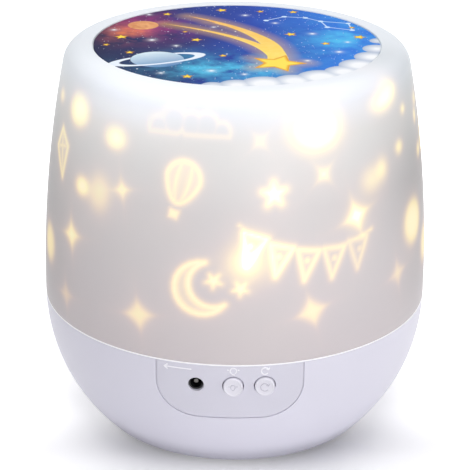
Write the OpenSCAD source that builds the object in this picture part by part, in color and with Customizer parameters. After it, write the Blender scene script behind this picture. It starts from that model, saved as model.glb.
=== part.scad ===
// Star night light projector: a round lamp with a frosted shade that turns and lifts off a bowl base.
// Inside, a motor turns a clear dome with a star film round a fixed light post.
// Units are millimetres. +Z is up, -Y is the front, and the origin is on the table under the centre.

/* [Body] */
// Widest diameter, at the seam between shade and base
body_d = 125; // [118:1:150]
// Height from the table to the top rim
body_h = 127; // [120:1:160]
// Height of the seam above the table
seam_z = 44.5; // [43:0.5:50]
// Radius of the bowl's side in profile
bowl_arc_r = 60; // [58:0.5:64]
// Radius of the shade's side in profile
shade_arc_r = 400; // [250:10:900]
// Rounding of the shade's top edge
shoulder_r = 6; // [4:0.5:10]
// Rounding of the bowl's bottom edge
bottom_edge_r = 3; // [2:0.5:5]

/* [Walls] */
// Wall of the bowl and of the control panel
bowl_wall = 2.2; // [1.8:0.1:2.6]
// Wall of the frosted shade
shade_wall = 1.8; // [1.2:0.1:2.2]
// Thickness of the bowl's floor
floor_t = 3; // [2.8:0.1:4]
// Thickness of the deck plate
deck_t = 2.2; // [1.6:0.1:2.6]
// Gap round parts that are set into another
fit_gap = 0.2; // [0.1:0.05:0.3]

/* [Seam and shade lock] */
// Thickness of the seam ring
seam_ring_t = 0.6; // [0.4:0.1:1]
// Radial space between collar and shade
collar_gap = 0.7; // [0.5:0.1:1]
// Radial thickness of the collar that carries the shade
collar_wall = 3.6; // [3:0.2:4.4]
// Height of the collar above the seam
collar_rise = 6.9; // [6:0.1:9]
// Number of locking lugs in the shade's mouth
lug_count = 3; // [2:1:4]
// Width of a lug in degrees
lug_angle = 12; // [8:1:16]
// Height of a lug
lug_h = 2; // [1.5:0.1:2.4]
// How far a lug reaches into the collar
lug_depth = 1.4; // [1:0.1:1.8]
// Turn from open to locked in degrees
lock_turn = 20; // [14:1:28]

/* [Top print] */
// Diameter of the printed disc
print_d = 90.5; // [70:0.5:94]
// Thickness of the printed disc
print_t = 0.5; // [0.3:0.1:0.6]
// Depth of its recess
print_recess = 0.8; // [0.7:0.1:1.2]

/* [Control panel] */
// Width of the panel
panel_w = 44.4; // [42:0.2:50]
// Height of the panel below the seam
panel_drop = 19.5; // [18:0.5:24]
// Radius of its lower corners
panel_corner_r = 12.2; // [8:0.2:16]
// Width of the groove round the panel
panel_gap = 0.35; // [0.2:0.05:0.5]
// Height of buttons and inlet below the seam
control_drop = 7.3; // [7:0.1:8]
// Sideways place of the power inlet
inlet_x = -10.2; // [-12:0.2:-9]
// Sideways place of the light button
light_x = 1.1; // [-0.4:0.1:1.4]
// Sideways place of the turning button
turn_x = 10.7; // [9.6:0.1:12]
// Diameter of a button cap
button_d = 6; // [5:0.1:6.4]
// How far a cap stands out of the panel
button_proud = 1.3; // [0.8:0.1:2]
// Travel of a button
button_travel = 0.5; // [0.3:0.1:0.6]
// Gap round a button cap
button_gap = 0.3; // [0.2:0.05:0.4]
// Diameter of the hole over the power inlet
inlet_hole_d = 4.8; // [4.4:0.1:5.4]
// Bore of the power inlet
inlet_bore_d = 3.7; // [3.5:0.1:3.8]
// Diameter of the inlet's centre pin
inlet_pin_d = 1.3; // [1:0.1:1.6]

/* [Drive] */
// Module of the two gears
gear_module = 0.8; // [0.7:0.05:0.85]
// Teeth on the turntable's gear
ring_teeth = 60; // [56:1:62]
// Teeth on the motor's pinion
pinion_teeth = 16; // [16:1:18]
// Face width of the turntable's gear
gear_h = 4.2; // [3.4:0.1:4.6]
// Play between the teeth
backlash = 0.16; // [0.1:0.02:0.24]
// Radius of the deck's hollow boss that the turntable runs on
hub_r = 12; // [11:0.5:13]
// Running gap between boss and turntable
hub_play = 0.06; // [0.03:0.01:0.1]
// Diameter of the gearbox
gearbox_d = 24; // [20:1:25]
// Height of the gearbox
gearbox_h = 9; // [7:0.5:10]
// Diameter of the motor
motor_d = 20; // [16:1:22]
// Height of the motor
motor_h = 12.4; // [10:0.2:12.8]
// Diameter of the motor's shaft
shaft_d = 3; // [2:0.5:4]

/* [Dome] */
// Width that the dome's flange and hooks take at the edge of the turntable
dome_edge = 1.9; // [1.8:0.1:5]
// Wall of the clear dome
dome_wall = 1.2; // [0.8:0.1:1.6]
// Thickness of the star film
film_t = 0.5; // [0.3:0.1:0.8]
// Thickness of the turntable disc
disc_t = 2; // [1.6:0.1:2.6]

/* [Light] */
// Outer radius of the light post
post_r = 8.4; // [7:0.1:8.6]
// Wall of the light post
post_wall = 1.5; // [1:0.1:2]
// Height of the light post above the deck
post_rise = 14.6; // [13:0.2:24]
// Radius of the round light board
led_board_r = 10; // [9:0.5:12]
// Radius of the lens over the lights
lens_r = 7.6; // [7:0.2:8.6]

/* [Battery] */
// Diameter of a cell
cell_d = 10.5; // [10:0.1:10.6]
// Length of a cell
cell_l = 44.5; // [43:0.5:45]
// Number of cells
cell_count = 4; // [3:1:4]
// Room for a contact spring
spring_l = 4.5; // [3.5:0.5:5]
// Thickness of the battery door
door_t = 1.8; // [1.4:0.1:1.8]
// Rounding of the door's corners
door_corner_r = 8; // [6:0.5:10]

/* [Feet] */
// Diameter of a foot
foot_d = 7; // [6:0.5:8]
// How far a foot stands below the bowl
foot_h = 1.5; // [1:0.1:2]
// Depth of a foot's pocket
foot_pocket = 1; // [0.6:0.1:1.4]
// Sideways place of a foot
foot_x = 24; // [20:0.5:26]
// Space between a foot and the battery door's recess
foot_door_gap = 1.1; // [0.8:0.1:2]

/* [Hidden] */
$fn = 96;

over = 1;                // how far a cut runs past the face it opens
face_gap = 0.1;          // gap between flat parts that lie on each other but move
pilot_gap = 0.05;        // radial room round a screw in the hole that it bites into
arc_steps = 32;          // straight steps in a profile's long arc
edge_steps = 10;         // straight steps in a rounded edge

// Bowl and shade
body_r = body_d / 2;
bowl_cx = body_r - bowl_arc_r;
bowl_z0 = foot_h;
floor_z = bowl_z0 + floor_t;
rim_z = seam_z - seam_ring_t;
shade_cx = body_r - shade_arc_r;
shade_top_inset = print_recess + shade_wall;
print_gap = 0.25;        // radial gap round the printed disc
front_cut_y = 40;        // how far from the axis the cuts through the front wall start

// Radius of the bowl at height z, or of a surface that lies inset inside it
function bowl_r_at(z, inset = 0) = bowl_cx + sqrt(pow(bowl_arc_r - inset, 2) - pow(seam_z - z, 2));

// Deck, with the collar that the shade locks on
collar_r = body_r - shade_wall - collar_gap;
collar_z1 = seam_z + collar_rise;
control_z = seam_z - control_drop;
flange_lip = 0.9;        // how far a button's flange reaches past its cap
flange_r = button_d / 2 + flange_lip;
deck_z0 = control_z + flange_r + face_gap;
deck_z1 = deck_z0 + deck_t;
deck_bowl_gap = 0.2;     // gap between the deck's edge and the bowl
deck_edge_r = min(collar_r, bowl_r_at(deck_z0, bowl_wall) - deck_bowl_gap) - face_gap;
lug_z0 = seam_z + 1.5;
slot_play = 0.3;         // height and depth left round a lug in its slot
slot_side = 1.5;         // degrees left at each side of a lug

// Deck screws and the posts under them
boss_r = 3.6;
boss_z0 = 11;
boss_wall_gap = 1.5;     // from a post's middle to the bowl's inner face, at the post's foot
boss_xy = (bowl_r_at(boss_z0, bowl_wall) - boss_wall_gap) / sqrt(2);  // sideways, and front to back
deck_screw_r = 1.2;
deck_screw_bite = 10;    // how far a deck screw goes into its post
screw_room = 2;          // depth of a pilot hole past its screw's tip

// Turntable
washer_t = 0.7;
hub_wall = 3;
hub_z0 = deck_z1 + washer_t + face_gap / 2;
gear_z0 = deck_z1 + 1.8;
gear_bore_gap = 0.5;     // gap between the turntable's gear and its hub
disc_z0 = gear_z0 + gear_h;
disc_z1 = disc_z0 + disc_t;
disc_r = collar_r - collar_wall - 1;
hub_z1 = disc_z1 + 0.8;
clip_t = 1;
clip_z0 = hub_z1 + face_gap;
clip_groove = 0.6;       // depth of the retaining ring's groove in the boss
clip_width = 3;
hub_top = clip_z0 + clip_t + 0.9;

// Domes, and the hooks that hold them
hook_angle = 10;
hook_h = 1.2;
hook_wall = 0.85;
hook_play = 0.15;
hook_count = 3;
hook_r = disc_r - face_gap;
dome_r = disc_r - dome_edge;
dome_flange_r = hook_r - hook_wall - hook_play;
dome_flange_t = 1.4;
film_r = dome_r - dome_wall - fit_gap;
film_flange_z = disc_z1 + face_gap;
dome_flange_z = film_flange_z + film_t + face_gap;
dome_cz = dome_flange_z + dome_flange_t;

// Motor and gearbox
pressure_angle = 20;
motor_y = gear_module * (ring_teeth + pinion_teeth) / 2;
pinion_h = gear_h;
pinion_z0 = gear_z0 - 0.4;
pinion_grip = 0.02;      // radial gap between pinion and shaft
ear_x = gearbox_d / 2 + 3.5;
ear_r = 2.6;
ear_t = 1.6;
ear_screw_r = 1.2;
shaft_play = 0.06;
shaft_hole_gap = 1.5;    // room round the shaft in the deck
shaft_z0 = deck_z0 - 7;
motor_z0 = deck_z0 - gearbox_h - motor_h;
tab_x = 6;
tab_w = 2;
tab_t = 0.6;
tab_out = 1.6;
tab_z = motor_z0 + 2;

// Light post and light board
post_z1 = deck_z1 + post_rise;
post_flange_r = hub_r + 1;
post_flange_t = 1.6;
post_flange_z = deck_z0 - post_flange_t;
post_screw_x = (hub_r + post_r + fit_gap) / 2;
post_screw_r = 0.9;
post_screw_bite = 6;
led_board_t = 1.2;
led_z = post_z1 + led_board_t;
lens_wall = 1;

// Switches, control board and power inlet
function flange_front(x) =
    0.25 - sqrt(pow(bowl_r_at(control_z - flange_r, bowl_wall), 2) - pow(abs(x) + flange_r, 2));
button_flange_t = 1;
button_edge = 0.4;
plunger_r = 1.7;
plunger_l = 1.6;
plunger_out = button_travel + 0.6;  // how far a plunger stands out of its switch
plunger_front = flange_front(turn_x) + button_flange_t + 0.3;
switch_w = 6;
switch_h = 3.5;
switch_bore = 1.5;
board_t = 1.6;
board_y = plunger_front + plunger_out + switch_h;
board_back = board_y + board_t;
board_w = 40;
board_drop = 8.7;        // how far the board reaches below the controls
board_z0 = control_z - board_drop;
board_top_gap = 0.6;     // gap between the board and the deck
board_z1 = deck_z0 - board_top_gap;
board_post_x = 16.5;
board_post_drop = 5.7;   // height of its posts below the controls
board_post_z = control_z - board_post_drop;
board_post_r = 2.2;
board_screw_r = 0.9;
board_screw_bite = 3.5;
chip_x = -1;             // sideways place of the chip's middle
chip_w = 6;
chip_h = 5;
chip_t = 1.5;
chip_lift = 3;           // from the board's lower edge to the chip
cap_lift = 6;            // from the board's lower edge to the capacitors' middles
caps = [[5, 2.5, 6], [-11, 2, 5]];  // sideways place, radius and length of each capacitor
inlet_depth = 1.5;       // how deep the inlet's black face lies below the panel's surface
inlet_w = 7;
inlet_end_t = 1.2;       // end wall of the inlet's bore
inlet_pin_drop = 1;      // how far the pin's tip lies behind the inlet's face
inlet_face_y = inlet_depth - sqrt(pow(bowl_r_at(control_z), 2) - inlet_x * inlet_x);
inlet_box_y = flange_front(inlet_x);
inlet_floor_y = board_y - inlet_end_t;
inlet_pin_l = inlet_floor_y - inlet_face_y - inlet_pin_drop;

// Lip behind the panel's edge
lip_t = 1.2;
lip_gap = 0.15;
lip_out = 1.5;
lip_in = 2;
lip_top = deck_z0 - 1.4;

// Battery well and door
cell_gap = 0.5;
cell_pitch = cell_d + cell_gap;
plate_t = 0.4;
well_x = cell_l + spring_l + 2 * plate_t;
well_y = cell_count * cell_pitch + 0.4;
well_wall = 1.5;
well_z1 = bowl_z0 + door_t + cell_d + 0.8;
roof_z = well_z1 + well_wall;
cell_z = bowl_z0 + door_t + 0.3 + cell_d / 2;
nub_l = 1;
nub_r = 1.9;
plate_w = cell_pitch - 1.2;
plate_h = cell_d - 1;
spring_wire = 0.35;
door_screw_r = 1.2;
door_screw_l = 7.5;
door_head_flat = 0.75;
door_sink = 1;           // depth of the recess for a door screw's head
door_boss_r = 3.2;
door_boss_z1 = floor_z + 7.5;
door_screw_x = well_x / 2 + well_wall + door_boss_r - 0.1;
door_x = 2 * (door_screw_x + 4);
door_y = well_y + 2 * 1.8;
foot_y = door_y / 2 + fit_gap + foot_door_gap + foot_d / 2;

// Leads
wire_r = 0.6;
wire_steps = 16;
wire_unit = 2;           // the leads' ends and bends are laid out in steps of this length
led_wire_x = 1.5;
well_wire_x = well_x / 2 - 0.9;
well_wire_y = well_y / 2 - 5.7;

// ---- shapes that repeat ----

// A ring between two radii
module ring(r_out, r_in, z0, h) {
    translate([0, 0, z0]) difference() {
        cylinder(r = r_out, h = h);
        translate([0, 0, -over]) cylinder(r = r_in, h = h + 2 * over);
    }
}

// A slice of a ring, centred on angle 0, cut square in plan
module ring_slice(r_out, r_in, z0, h, angle) {
    reach = r_out * 1.5;
    intersection() {
        ring(r_out, r_in, z0, h);
        translate([0, 0, z0 - over]) linear_extrude(h + 2 * over) polygon([
            [0, 0],
            [reach * cos(angle / 2), -reach * sin(angle / 2)],
            [reach * cos(angle / 2), reach * sin(angle / 2)]
        ]);
    }
}

// A plate with round corners, centred, from z0 upwards
module round_plate(x, y, r, z0, h) {
    translate([0, 0, z0]) linear_extrude(h) union() {
        square([x - 2 * r, y], center = true);
        square([x, y - 2 * r], center = true);
        for (sx = [-1, 1], sy = [-1, 1]) translate([sx * (x / 2 - r), sy * (y / 2 - r)]) circle(r);
    }
}

// Places its children at the four sign pairs of (x, y)
module corners(x, y) {
    for (sx = [-1, 1], sy = [-1, 1]) translate([sx * x, sy * y, 0]) children();
}

// A cross-head screw that points down, with the underside of its head at z = 0.
// head_flat is the head's height as a share of the shaft's radius
module screw(shaft_r, length, head_flat = 1.25) {
    head_r = 2 * shaft_r;
    head_h = head_flat * shaft_r;
    slot_w = head_r * 0.32;
    slot_l = head_r * 1.3;
    difference() {
        union() {
            cylinder(r = head_r, h = head_h);
            translate([0, 0, -length]) cylinder(r = shaft_r, h = length + head_h / 2);
        }
        for (turn = [0, 90]) rotate(turn) translate([-slot_l / 2, -slot_w / 2, head_h * 0.45])
            cube([slot_l, slot_w, head_h]);
    }
}

// A screw that points up, with the underside of its head at z = 0
module screw_up(shaft_r, length, head_flat = 1.25) {
    mirror([0, 0, 1]) screw(shaft_r, length, head_flat);
}

// Turns a shape drawn with z as its axis so that it points out of the front
module at_front(x, y, z) {
    translate([x, y, z]) rotate([90, 0, 0]) children();
}

// A round cut through the front wall
module front_cut(x, z, r) {
    at_front(x, -front_cut_y, z) cylinder(r = r, h = body_r);
}

// The triangles between rings of corners: n_rings rings of `sides` corners, closed by a fan at each end
function tube_faces(n_rings, sides) = concat(
    [for (i = [0:n_rings - 2], j = [0:sides - 1], half = [0, 1])
        let (k = (j + 1) % sides, a = i * sides, b = a + sides)
        half == 0 ? [a + j, b + j, b + k] : [a + j, b + k, a + k]],
    [for (j = [1:sides - 2]) [0, j, j + 1]],
    [for (j = [1:sides - 2]) let (a = (n_rings - 1) * sides) [a, a + j + 1, a + j]]
);

// Points of an arc about (cx, cz), from angle a0 to a1
function arc(cx, cz, r, a0, a1, steps) =
    [for (i = [0:steps]) let (a = a0 + (a1 - a0) * i / steps) [cx + r * cos(a), cz + r * sin(a)]];

// All but the first point of a list
function rest(list) = [for (i = [1:len(list) - 1]) list[i]];

// The bowl's outer solid, pulled in by inset: flat below, a rounded edge, and a side upright at the seam
module bowl_solid(inset, z_bottom, z_top) {
    r = bowl_arc_r - inset;
    edge = max(bottom_edge_r - inset, 0.5);
    edge_z = z_bottom + edge;
    edge_x = bowl_cx + sqrt(pow(r - edge, 2) - pow(seam_z - edge_z, 2));
    a_join = atan2(edge_z - seam_z, edge_x - bowl_cx);
    a_top = asin((z_top - seam_z) / r);
    rotate_extrude() polygon(concat(
        [[0, z_bottom]],
        arc(edge_x, edge_z, edge, -90, a_join, edge_steps),
        rest(arc(bowl_cx, seam_z, r, a_join, a_top, arc_steps)),
        [[0, z_top]]
    ));
}

// A layer of the bowl's wall between two insets, below z_top
module bowl_layer(inset_out, inset_in, z_top) {
    difference() {
        bowl_solid(inset_out, bowl_z0, z_top);
        bowl_solid(inset_in, floor_z, z_top + over);
    }
}

// The panel's outline, square at the top and round at the lower corners, grown by g
module panel_outline(g) {
    cx = panel_w / 2 - panel_corner_r;
    cz = seam_z - panel_drop + panel_corner_r;
    union() {
        translate([-panel_w / 2 - g, cz]) square([panel_w + 2 * g, seam_z - cz + over]);
        translate([-cx, cz - panel_corner_r - g]) square([2 * cx, panel_corner_r + g + over]);
        for (s = [-1, 1]) translate([s * cx, cz]) circle(panel_corner_r + g);
    }
}

// The panel's outline carried through the front wall
module panel_prism(g) {
    at_front(0, -front_cut_y, 0) linear_extrude(body_r) panel_outline(g);
}

// The space between two panel outlines, g_out outside and g_in inside
module panel_frame(g_out, g_in) {
    difference() {
        panel_prism(g_out);
        panel_prism(g_in);
    }
}

// ---- base ----

module deck_posts() {
    intersection() {
        bowl_solid(bowl_wall / 2, bowl_z0 + floor_t / 2, rim_z);
        corners(boss_xy, boss_xy) translate([0, 0, boss_z0]) cylinder(r = boss_r, h = deck_z0 - boss_z0);
    }
}

module battery_walls() {
    sunk = floor_t / 2;
    z0 = floor_z - sunk;
    translate([-well_x / 2 - well_wall, -well_y / 2 - well_wall, z0])
        cube([well_x + 2 * well_wall, well_y + 2 * well_wall, roof_z - z0]);
    for (s = [-1, 1]) translate([s * door_screw_x, 0, z0]) cylinder(r = door_boss_r, h = door_boss_z1 - z0);
}

// The battery well, the door's recess, and the holes for the door's screws and the leads
module battery_cuts() {
    translate([-well_x / 2, -well_y / 2, bowl_z0]) cube([well_x, well_y, well_z1 - bowl_z0]);
    round_plate(door_x + 2 * fit_gap, door_y + 2 * fit_gap, door_corner_r,
        bowl_z0 - over, door_t + over + fit_gap);
    for (s = [-1, 1]) {
        translate([s * door_screw_x, 0, bowl_z0])
            cylinder(r = door_screw_r + pilot_gap, h = door_sink + door_screw_l + over);
        translate([-well_wire_x, s * well_wire_y, well_z1 - over])
            cylinder(r = wire_r + fit_gap, h = well_wall + 2 * over);
    }
}

module base_shell() {
    color("white") difference() {
        union() {
            bowl_layer(0, bowl_wall, rim_z);
            deck_posts();
            battery_walls();
        }
        panel_prism(panel_gap);
        battery_cuts();
        corners(boss_xy, boss_xy) translate([0, 0, deck_z0 - deck_screw_bite - screw_room])
            cylinder(r = deck_screw_r + pilot_gap, h = deck_screw_bite + screw_room + over);
        corners(foot_x, foot_y) translate([0, 0, bowl_z0 - over])
            cylinder(r = foot_d / 2 + pilot_gap, h = foot_pocket + over);
    }
}

// The panel, with a lip behind its edge that catches the bowl's wall, and two posts for the board
module control_panel() {
    lip_inset = bowl_wall + lip_gap;
    color("white") difference() {
        union() {
            intersection() {
                bowl_layer(0, bowl_wall, rim_z);
                panel_prism(0);
            }
            intersection() {
                bowl_layer(lip_inset, lip_inset + lip_t, lip_top);
                panel_frame(panel_gap + lip_out, -lip_in);
            }
            intersection() {
                bowl_layer(bowl_wall / 2, lip_inset + lip_t, lip_top);
                panel_frame(0, -lip_in);
            }
            intersection() {
                bowl_solid(bowl_wall / 2, bowl_z0, rim_z);
                for (s = [-1, 1]) at_front(s * board_post_x, board_y, board_post_z)
                    cylinder(r = board_post_r, h = body_r + board_y);
            }
        }
        for (s = [-1, 1]) at_front(s * board_post_x, board_y + over, board_post_z)
            cylinder(r = board_screw_r + pilot_gap, h = board_screw_bite + over + 0.5);
        for (x = [light_x, turn_x]) front_cut(x, control_z, button_d / 2 + button_gap);
        front_cut(inlet_x, control_z, inlet_hole_d / 2);
    }
}

module rubber_feet() {
    color("gainsboro") corners(foot_x, foot_y) cylinder(r = foot_d / 2, h = foot_h + foot_pocket);
}

module battery_door() {
    color("white") difference() {
        round_plate(door_x, door_y, door_corner_r, bowl_z0, door_t);
        for (s = [-1, 1]) translate([s * door_screw_x, 0, bowl_z0 - over]) {
            cylinder(r = door_screw_r + fit_gap, h = door_t + 2 * over);
            cylinder(r = 2 * door_screw_r + fit_gap, h = over + door_sink);
        }
    }
}

module door_screws() {
    color("silver") for (s = [-1, 1]) translate([s * door_screw_x, 0, bowl_z0 + door_sink])
        screw_up(door_screw_r, door_screw_l, door_head_flat);
}

// Places its children at each cell's middle, turned end for end from one cell to the next
module at_cells() {
    for (i = [0:cell_count - 1]) translate([0, (i - (cell_count - 1) / 2) * cell_pitch, cell_z])
        mirror([i % 2, 0, 0]) children();
}

module battery_cells() {
    color("dimgray") at_cells() translate([well_x / 2 - plate_t - cell_l, 0, 0]) rotate([0, 90, 0]) union() {
        cylinder(r = cell_d / 2, h = cell_l - nub_l);
        cylinder(r = nub_r, h = cell_l);
    }
}

// A coil of round wire: rings of points along a helix that narrows towards its far end
module coil_spring(r0, r1, length, turns, wire) {
    sides = 6;
    n = turns * 12;
    points = [for (i = [0:n], j = [0:sides - 1])
        let (t = i / n, a = 360 * turns * t, b = 360 * j / sides, r = r0 + (r1 - r0) * t + wire * cos(b))
        [r * cos(a), r * sin(a), wire + (length - 2 * wire) * t + wire * sin(b)]];
    polyhedron(points, tube_faces(n + 1, sides), convexity = 6);
}

module contact_springs() {
    color("silver") at_cells() translate([-well_x / 2 + plate_t, 0, 0]) rotate([0, 90, 0])
        coil_spring(r0 = plate_h * 0.36, r1 = plate_h * 0.23, length = spring_l, turns = 3,
            wire = spring_wire);
}

module contact_plates() {
    color("silver") for (s = [-1, 1]) at_cells() translate([s * (well_x / 2 - plate_t / 2), 0, 0])
        cube([plate_t, plate_w, plate_h], center = true);
}

// ---- controls ----

// A cap with a flange behind the panel and a stem that reaches its switch
module push_button(x) {
    flange_y = flange_front(x);
    face_y = -sqrt(pow(bowl_r_at(control_z), 2) - x * x) - button_proud;
    union() {
        at_front(x, flange_y, control_z) cylinder(r = button_d / 2, h = flange_y - face_y - button_edge);
        at_front(x, face_y + button_edge, control_z)
            cylinder(r1 = button_d / 2, r2 = button_d / 2 - button_edge, h = button_edge);
        at_front(x, flange_y + button_flange_t, control_z) cylinder(r = flange_r, h = button_flange_t);
        at_front(x, plunger_front, control_z) cylinder(r = plunger_r, h = plunger_front - flange_y);
    }
}

module plunger(x) {
    at_front(x, plunger_front + plunger_l, control_z) cylinder(r = plunger_r, h = plunger_l);
}

module light_button() {
    color("white") push_button(light_x);
}

module turn_button() {
    color("white") push_button(turn_x);
}

module light_switch_plunger() {
    color("black") plunger(light_x);
}

module turn_switch_plunger() {
    color("black") plunger(turn_x);
}

module switch_bodies() {
    color("dimgray") for (x = [light_x, turn_x]) difference() {
        translate([x - switch_w / 2, board_y - switch_h, control_z - switch_w / 2])
            cube([switch_w, switch_h, switch_w]);
        at_front(x, board_y - switch_h + switch_bore, control_z)
            cylinder(r = plunger_r + face_gap, h = switch_bore + over);
    }
}

module control_board() {
    color("darkgreen") difference() {
        translate([-board_w / 2, board_y, board_z0]) cube([board_w, board_t, board_z1 - board_z0]);
        for (s = [-1, 1]) at_front(s * board_post_x, board_back + over, board_post_z)
            cylinder(r = board_screw_r + fit_gap, h = board_t + 2 * over);
    }
}

// A chip and two capacitors on the back of the control board
module board_components() {
    color("black") union() {
        translate([chip_x - chip_w / 2, board_back, board_z0 + chip_lift]) cube([chip_w, chip_t, chip_h]);
        for (cap = caps) translate([cap[0], board_back, board_z0 + cap_lift])
            rotate([-90, 0, 0]) cylinder(r = cap[1], h = cap[2]);
    }
}

module board_screws() {
    color("silver") for (s = [-1, 1]) translate([s * board_post_x, board_back, board_post_z])
        rotate([-90, 0, 0]) screw(board_screw_r, board_t + board_screw_bite);
}

module inlet_housing() {
    color("black") difference() {
        union() {
            translate([inlet_x - inlet_w / 2, inlet_box_y, control_z - inlet_w / 2])
                cube([inlet_w, board_y - inlet_box_y, inlet_w]);
            at_front(inlet_x, board_y, control_z)
                cylinder(r = inlet_hole_d / 2 - face_gap, h = board_y - inlet_face_y);
        }
        at_front(inlet_x, inlet_floor_y, control_z) cylinder(r = inlet_bore_d / 2, h = body_r);
    }
}

module inlet_pin() {
    color("silver") at_front(inlet_x, inlet_floor_y, control_z)
        cylinder(r = inlet_pin_d / 2, h = inlet_pin_l);
}

// ---- deck, motor and gears ----

// One slot for a lug: the way in from above, and the stretch it turns along
module lug_slot() {
    depth_r = collar_r - lug_depth - slot_play;
    half_way = lug_angle / 2 + slot_side;
    end = half_way + lock_turn + slot_side;
    z0 = lug_z0 - slot_play;
    ring_slice(collar_r + over, depth_r, z0, collar_z1 - z0 + over, 2 * half_way);
    rotate(end / 2) ring_slice(collar_r + over, depth_r, z0, lug_h + 2 * slot_play, end);
}

module at_lugs() {
    for (i = [0:lug_count - 1]) rotate(90 + i * 360 / lug_count) children();
}

// The deck turned in one piece: plate, collar, and the grooved boss in the middle
module deck_solid() {
    collar_in = collar_r - collar_wall;
    bore_r = post_r + fit_gap;
    groove_r = hub_r - clip_groove;
    groove_z0 = clip_z0 - face_gap / 2;
    groove_z1 = clip_z0 + clip_t + face_gap / 2;
    rotate_extrude() polygon([
        [bore_r, deck_z0], [deck_edge_r, deck_z0], [deck_edge_r, rim_z], [collar_r, rim_z],
        [collar_r, collar_z1], [collar_in, collar_z1], [collar_in, deck_z1], [hub_r, deck_z1],
        [hub_r, groove_z0], [groove_r, groove_z0], [groove_r, groove_z1], [hub_r, groove_z1],
        [hub_r, hub_top], [bore_r, hub_top]
    ]);
}

module deck() {
    color("white") difference() {
        deck_solid();
        at_lugs() lug_slot();
        translate([0, 0, deck_z0 - over]) {
            translate([0, motor_y, 0]) cylinder(r = shaft_d / 2 + shaft_hole_gap, h = deck_t + 2 * over);
            corners(boss_xy, boss_xy) cylinder(r = deck_screw_r + fit_gap, h = deck_t + 2 * over);
            for (s = [-1, 1]) {
                translate([s * ear_x, motor_y, 0])
                    cylinder(r = ear_screw_r + pilot_gap, h = deck_t + 2 * over);
                translate([s * post_screw_x, 0, 0])
                    cylinder(r = post_screw_r + pilot_gap, h = post_screw_bite + 2 * over);
            }
        }
    }
}

module deck_screws() {
    color("silver") corners(boss_xy, boss_xy) translate([0, 0, deck_z1])
        screw(deck_screw_r, deck_t + deck_screw_bite);
}

module gearbox() {
    color("lightgray") difference() {
        union() {
            translate([0, motor_y, deck_z0 - gearbox_h]) cylinder(r = gearbox_d / 2, h = gearbox_h);
            for (s = [-1, 1]) translate([s * ear_x, motor_y, deck_z0 - ear_t]) cylinder(r = ear_r, h = ear_t);
            translate([-ear_x, motor_y - ear_r, deck_z0 - ear_t]) cube([2 * ear_x, 2 * ear_r, ear_t]);
        }
        for (s = [-1, 1]) translate([s * ear_x, motor_y, deck_z0 - ear_t - over])
            cylinder(r = ear_screw_r + fit_gap, h = ear_t + 2 * over);
        translate([0, motor_y, shaft_z0 - face_gap]) cylinder(r = shaft_d / 2 + shaft_play, h = gearbox_h);
    }
}

module motor_can() {
    color("silver") union() {
        translate([0, motor_y, motor_z0]) cylinder(r = motor_d / 2, h = motor_h);
        for (s = [-1, 1]) translate([s * tab_x - tab_w / 2, motor_y - motor_d / 2 - tab_out, tab_z])
            cube([tab_w, tab_out + motor_d / 4, tab_t]);
    }
}

module motor_screws() {
    color("silver") for (s = [-1, 1]) translate([s * ear_x, motor_y, deck_z0 - ear_t])
        screw_up(ear_screw_r, ear_t + deck_t - fit_gap);
}

module motor_shaft() {
    color("silver") translate([0, motor_y, shaft_z0])
        cylinder(r = shaft_d / 2, h = pinion_z0 + pinion_h - shaft_z0 - fit_gap);
}

// The angle between a tooth's flank at radius r and where the flank starts, on its base circle
function involute(base_r, r) = let (a = acos(min(1, base_r / r))) tan(a) * 180 / PI - a;

// A spur gear with its first tooth on the +X axis
module spur_gear(teeth, h) {
    pitch_r = gear_module * teeth / 2;
    tip_r = pitch_r + gear_module * 0.92;
    root_r = pitch_r - gear_module * 1.2;
    base_r = pitch_r * cos(pressure_angle);
    low_r = max(base_r, root_r + gear_module / 100);
    half = 90 / teeth - backlash / 4 / pitch_r * 180 / PI + involute(base_r, pitch_r);
    flank_steps = 4;
    radii = [for (i = [0:flank_steps]) low_r + (tip_r - low_r) * i / flank_steps];
    side = concat([[root_r, half]], [for (r = radii) [r, half - involute(base_r, r)]]);
    n = len(side);
    linear_extrude(h) polygon([for (t = [0:teeth - 1], s = [-1, 1], i = [0:n - 1])
        let (p = side[s < 0 ? i : n - 1 - i], a = 360 * t / teeth + s * p[1]) p[0] * [cos(a), sin(a)]]);
}

// The pinion is turned so that a gap between its teeth faces the turntable's gear
module drive_pinion() {
    color("whitesmoke") translate([0, motor_y, pinion_z0]) difference() {
        rotate(-90 + 180 / pinion_teeth) spur_gear(pinion_teeth, pinion_h);
        translate([0, 0, -over]) cylinder(r = shaft_d / 2 + pinion_grip, h = pinion_h + 2 * over);
    }
}

module ring_gear() {
    color("whitesmoke") translate([0, 0, gear_z0]) difference() {
        rotate(90) spur_gear(ring_teeth, gear_h);
        translate([0, 0, -over]) cylinder(r = hub_r + hub_wall + gear_bore_gap, h = gear_h + 2 * over);
    }
}

module thrust_washer() {
    color("burlywood") ring(hub_r + hub_wall, hub_r + face_gap, deck_z1, washer_t);
}

// An open ring that snaps into the boss's groove
module retaining_ring() {
    color("silver") difference() {
        ring(hub_r + 2.4, hub_r - clip_groove + pilot_gap, clip_z0, clip_t);
        translate([-clip_width / 2, 0, clip_z0 - over]) cube([clip_width, hub_r * 2, clip_t + 2 * over]);
    }
}

// A hook that reaches over the dome's flange
module dome_hook() {
    flange_top = dome_cz + face_gap;
    sunk = disc_t / 4;
    difference() {
        ring_slice(hook_r, dome_r + 2 * hook_play, disc_z1 - sunk,
            flange_top + hook_h - disc_z1 + sunk, hook_angle);
        ring(dome_flange_r + hook_play, dome_r - over, disc_z1, flange_top - disc_z1);
    }
}

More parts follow.
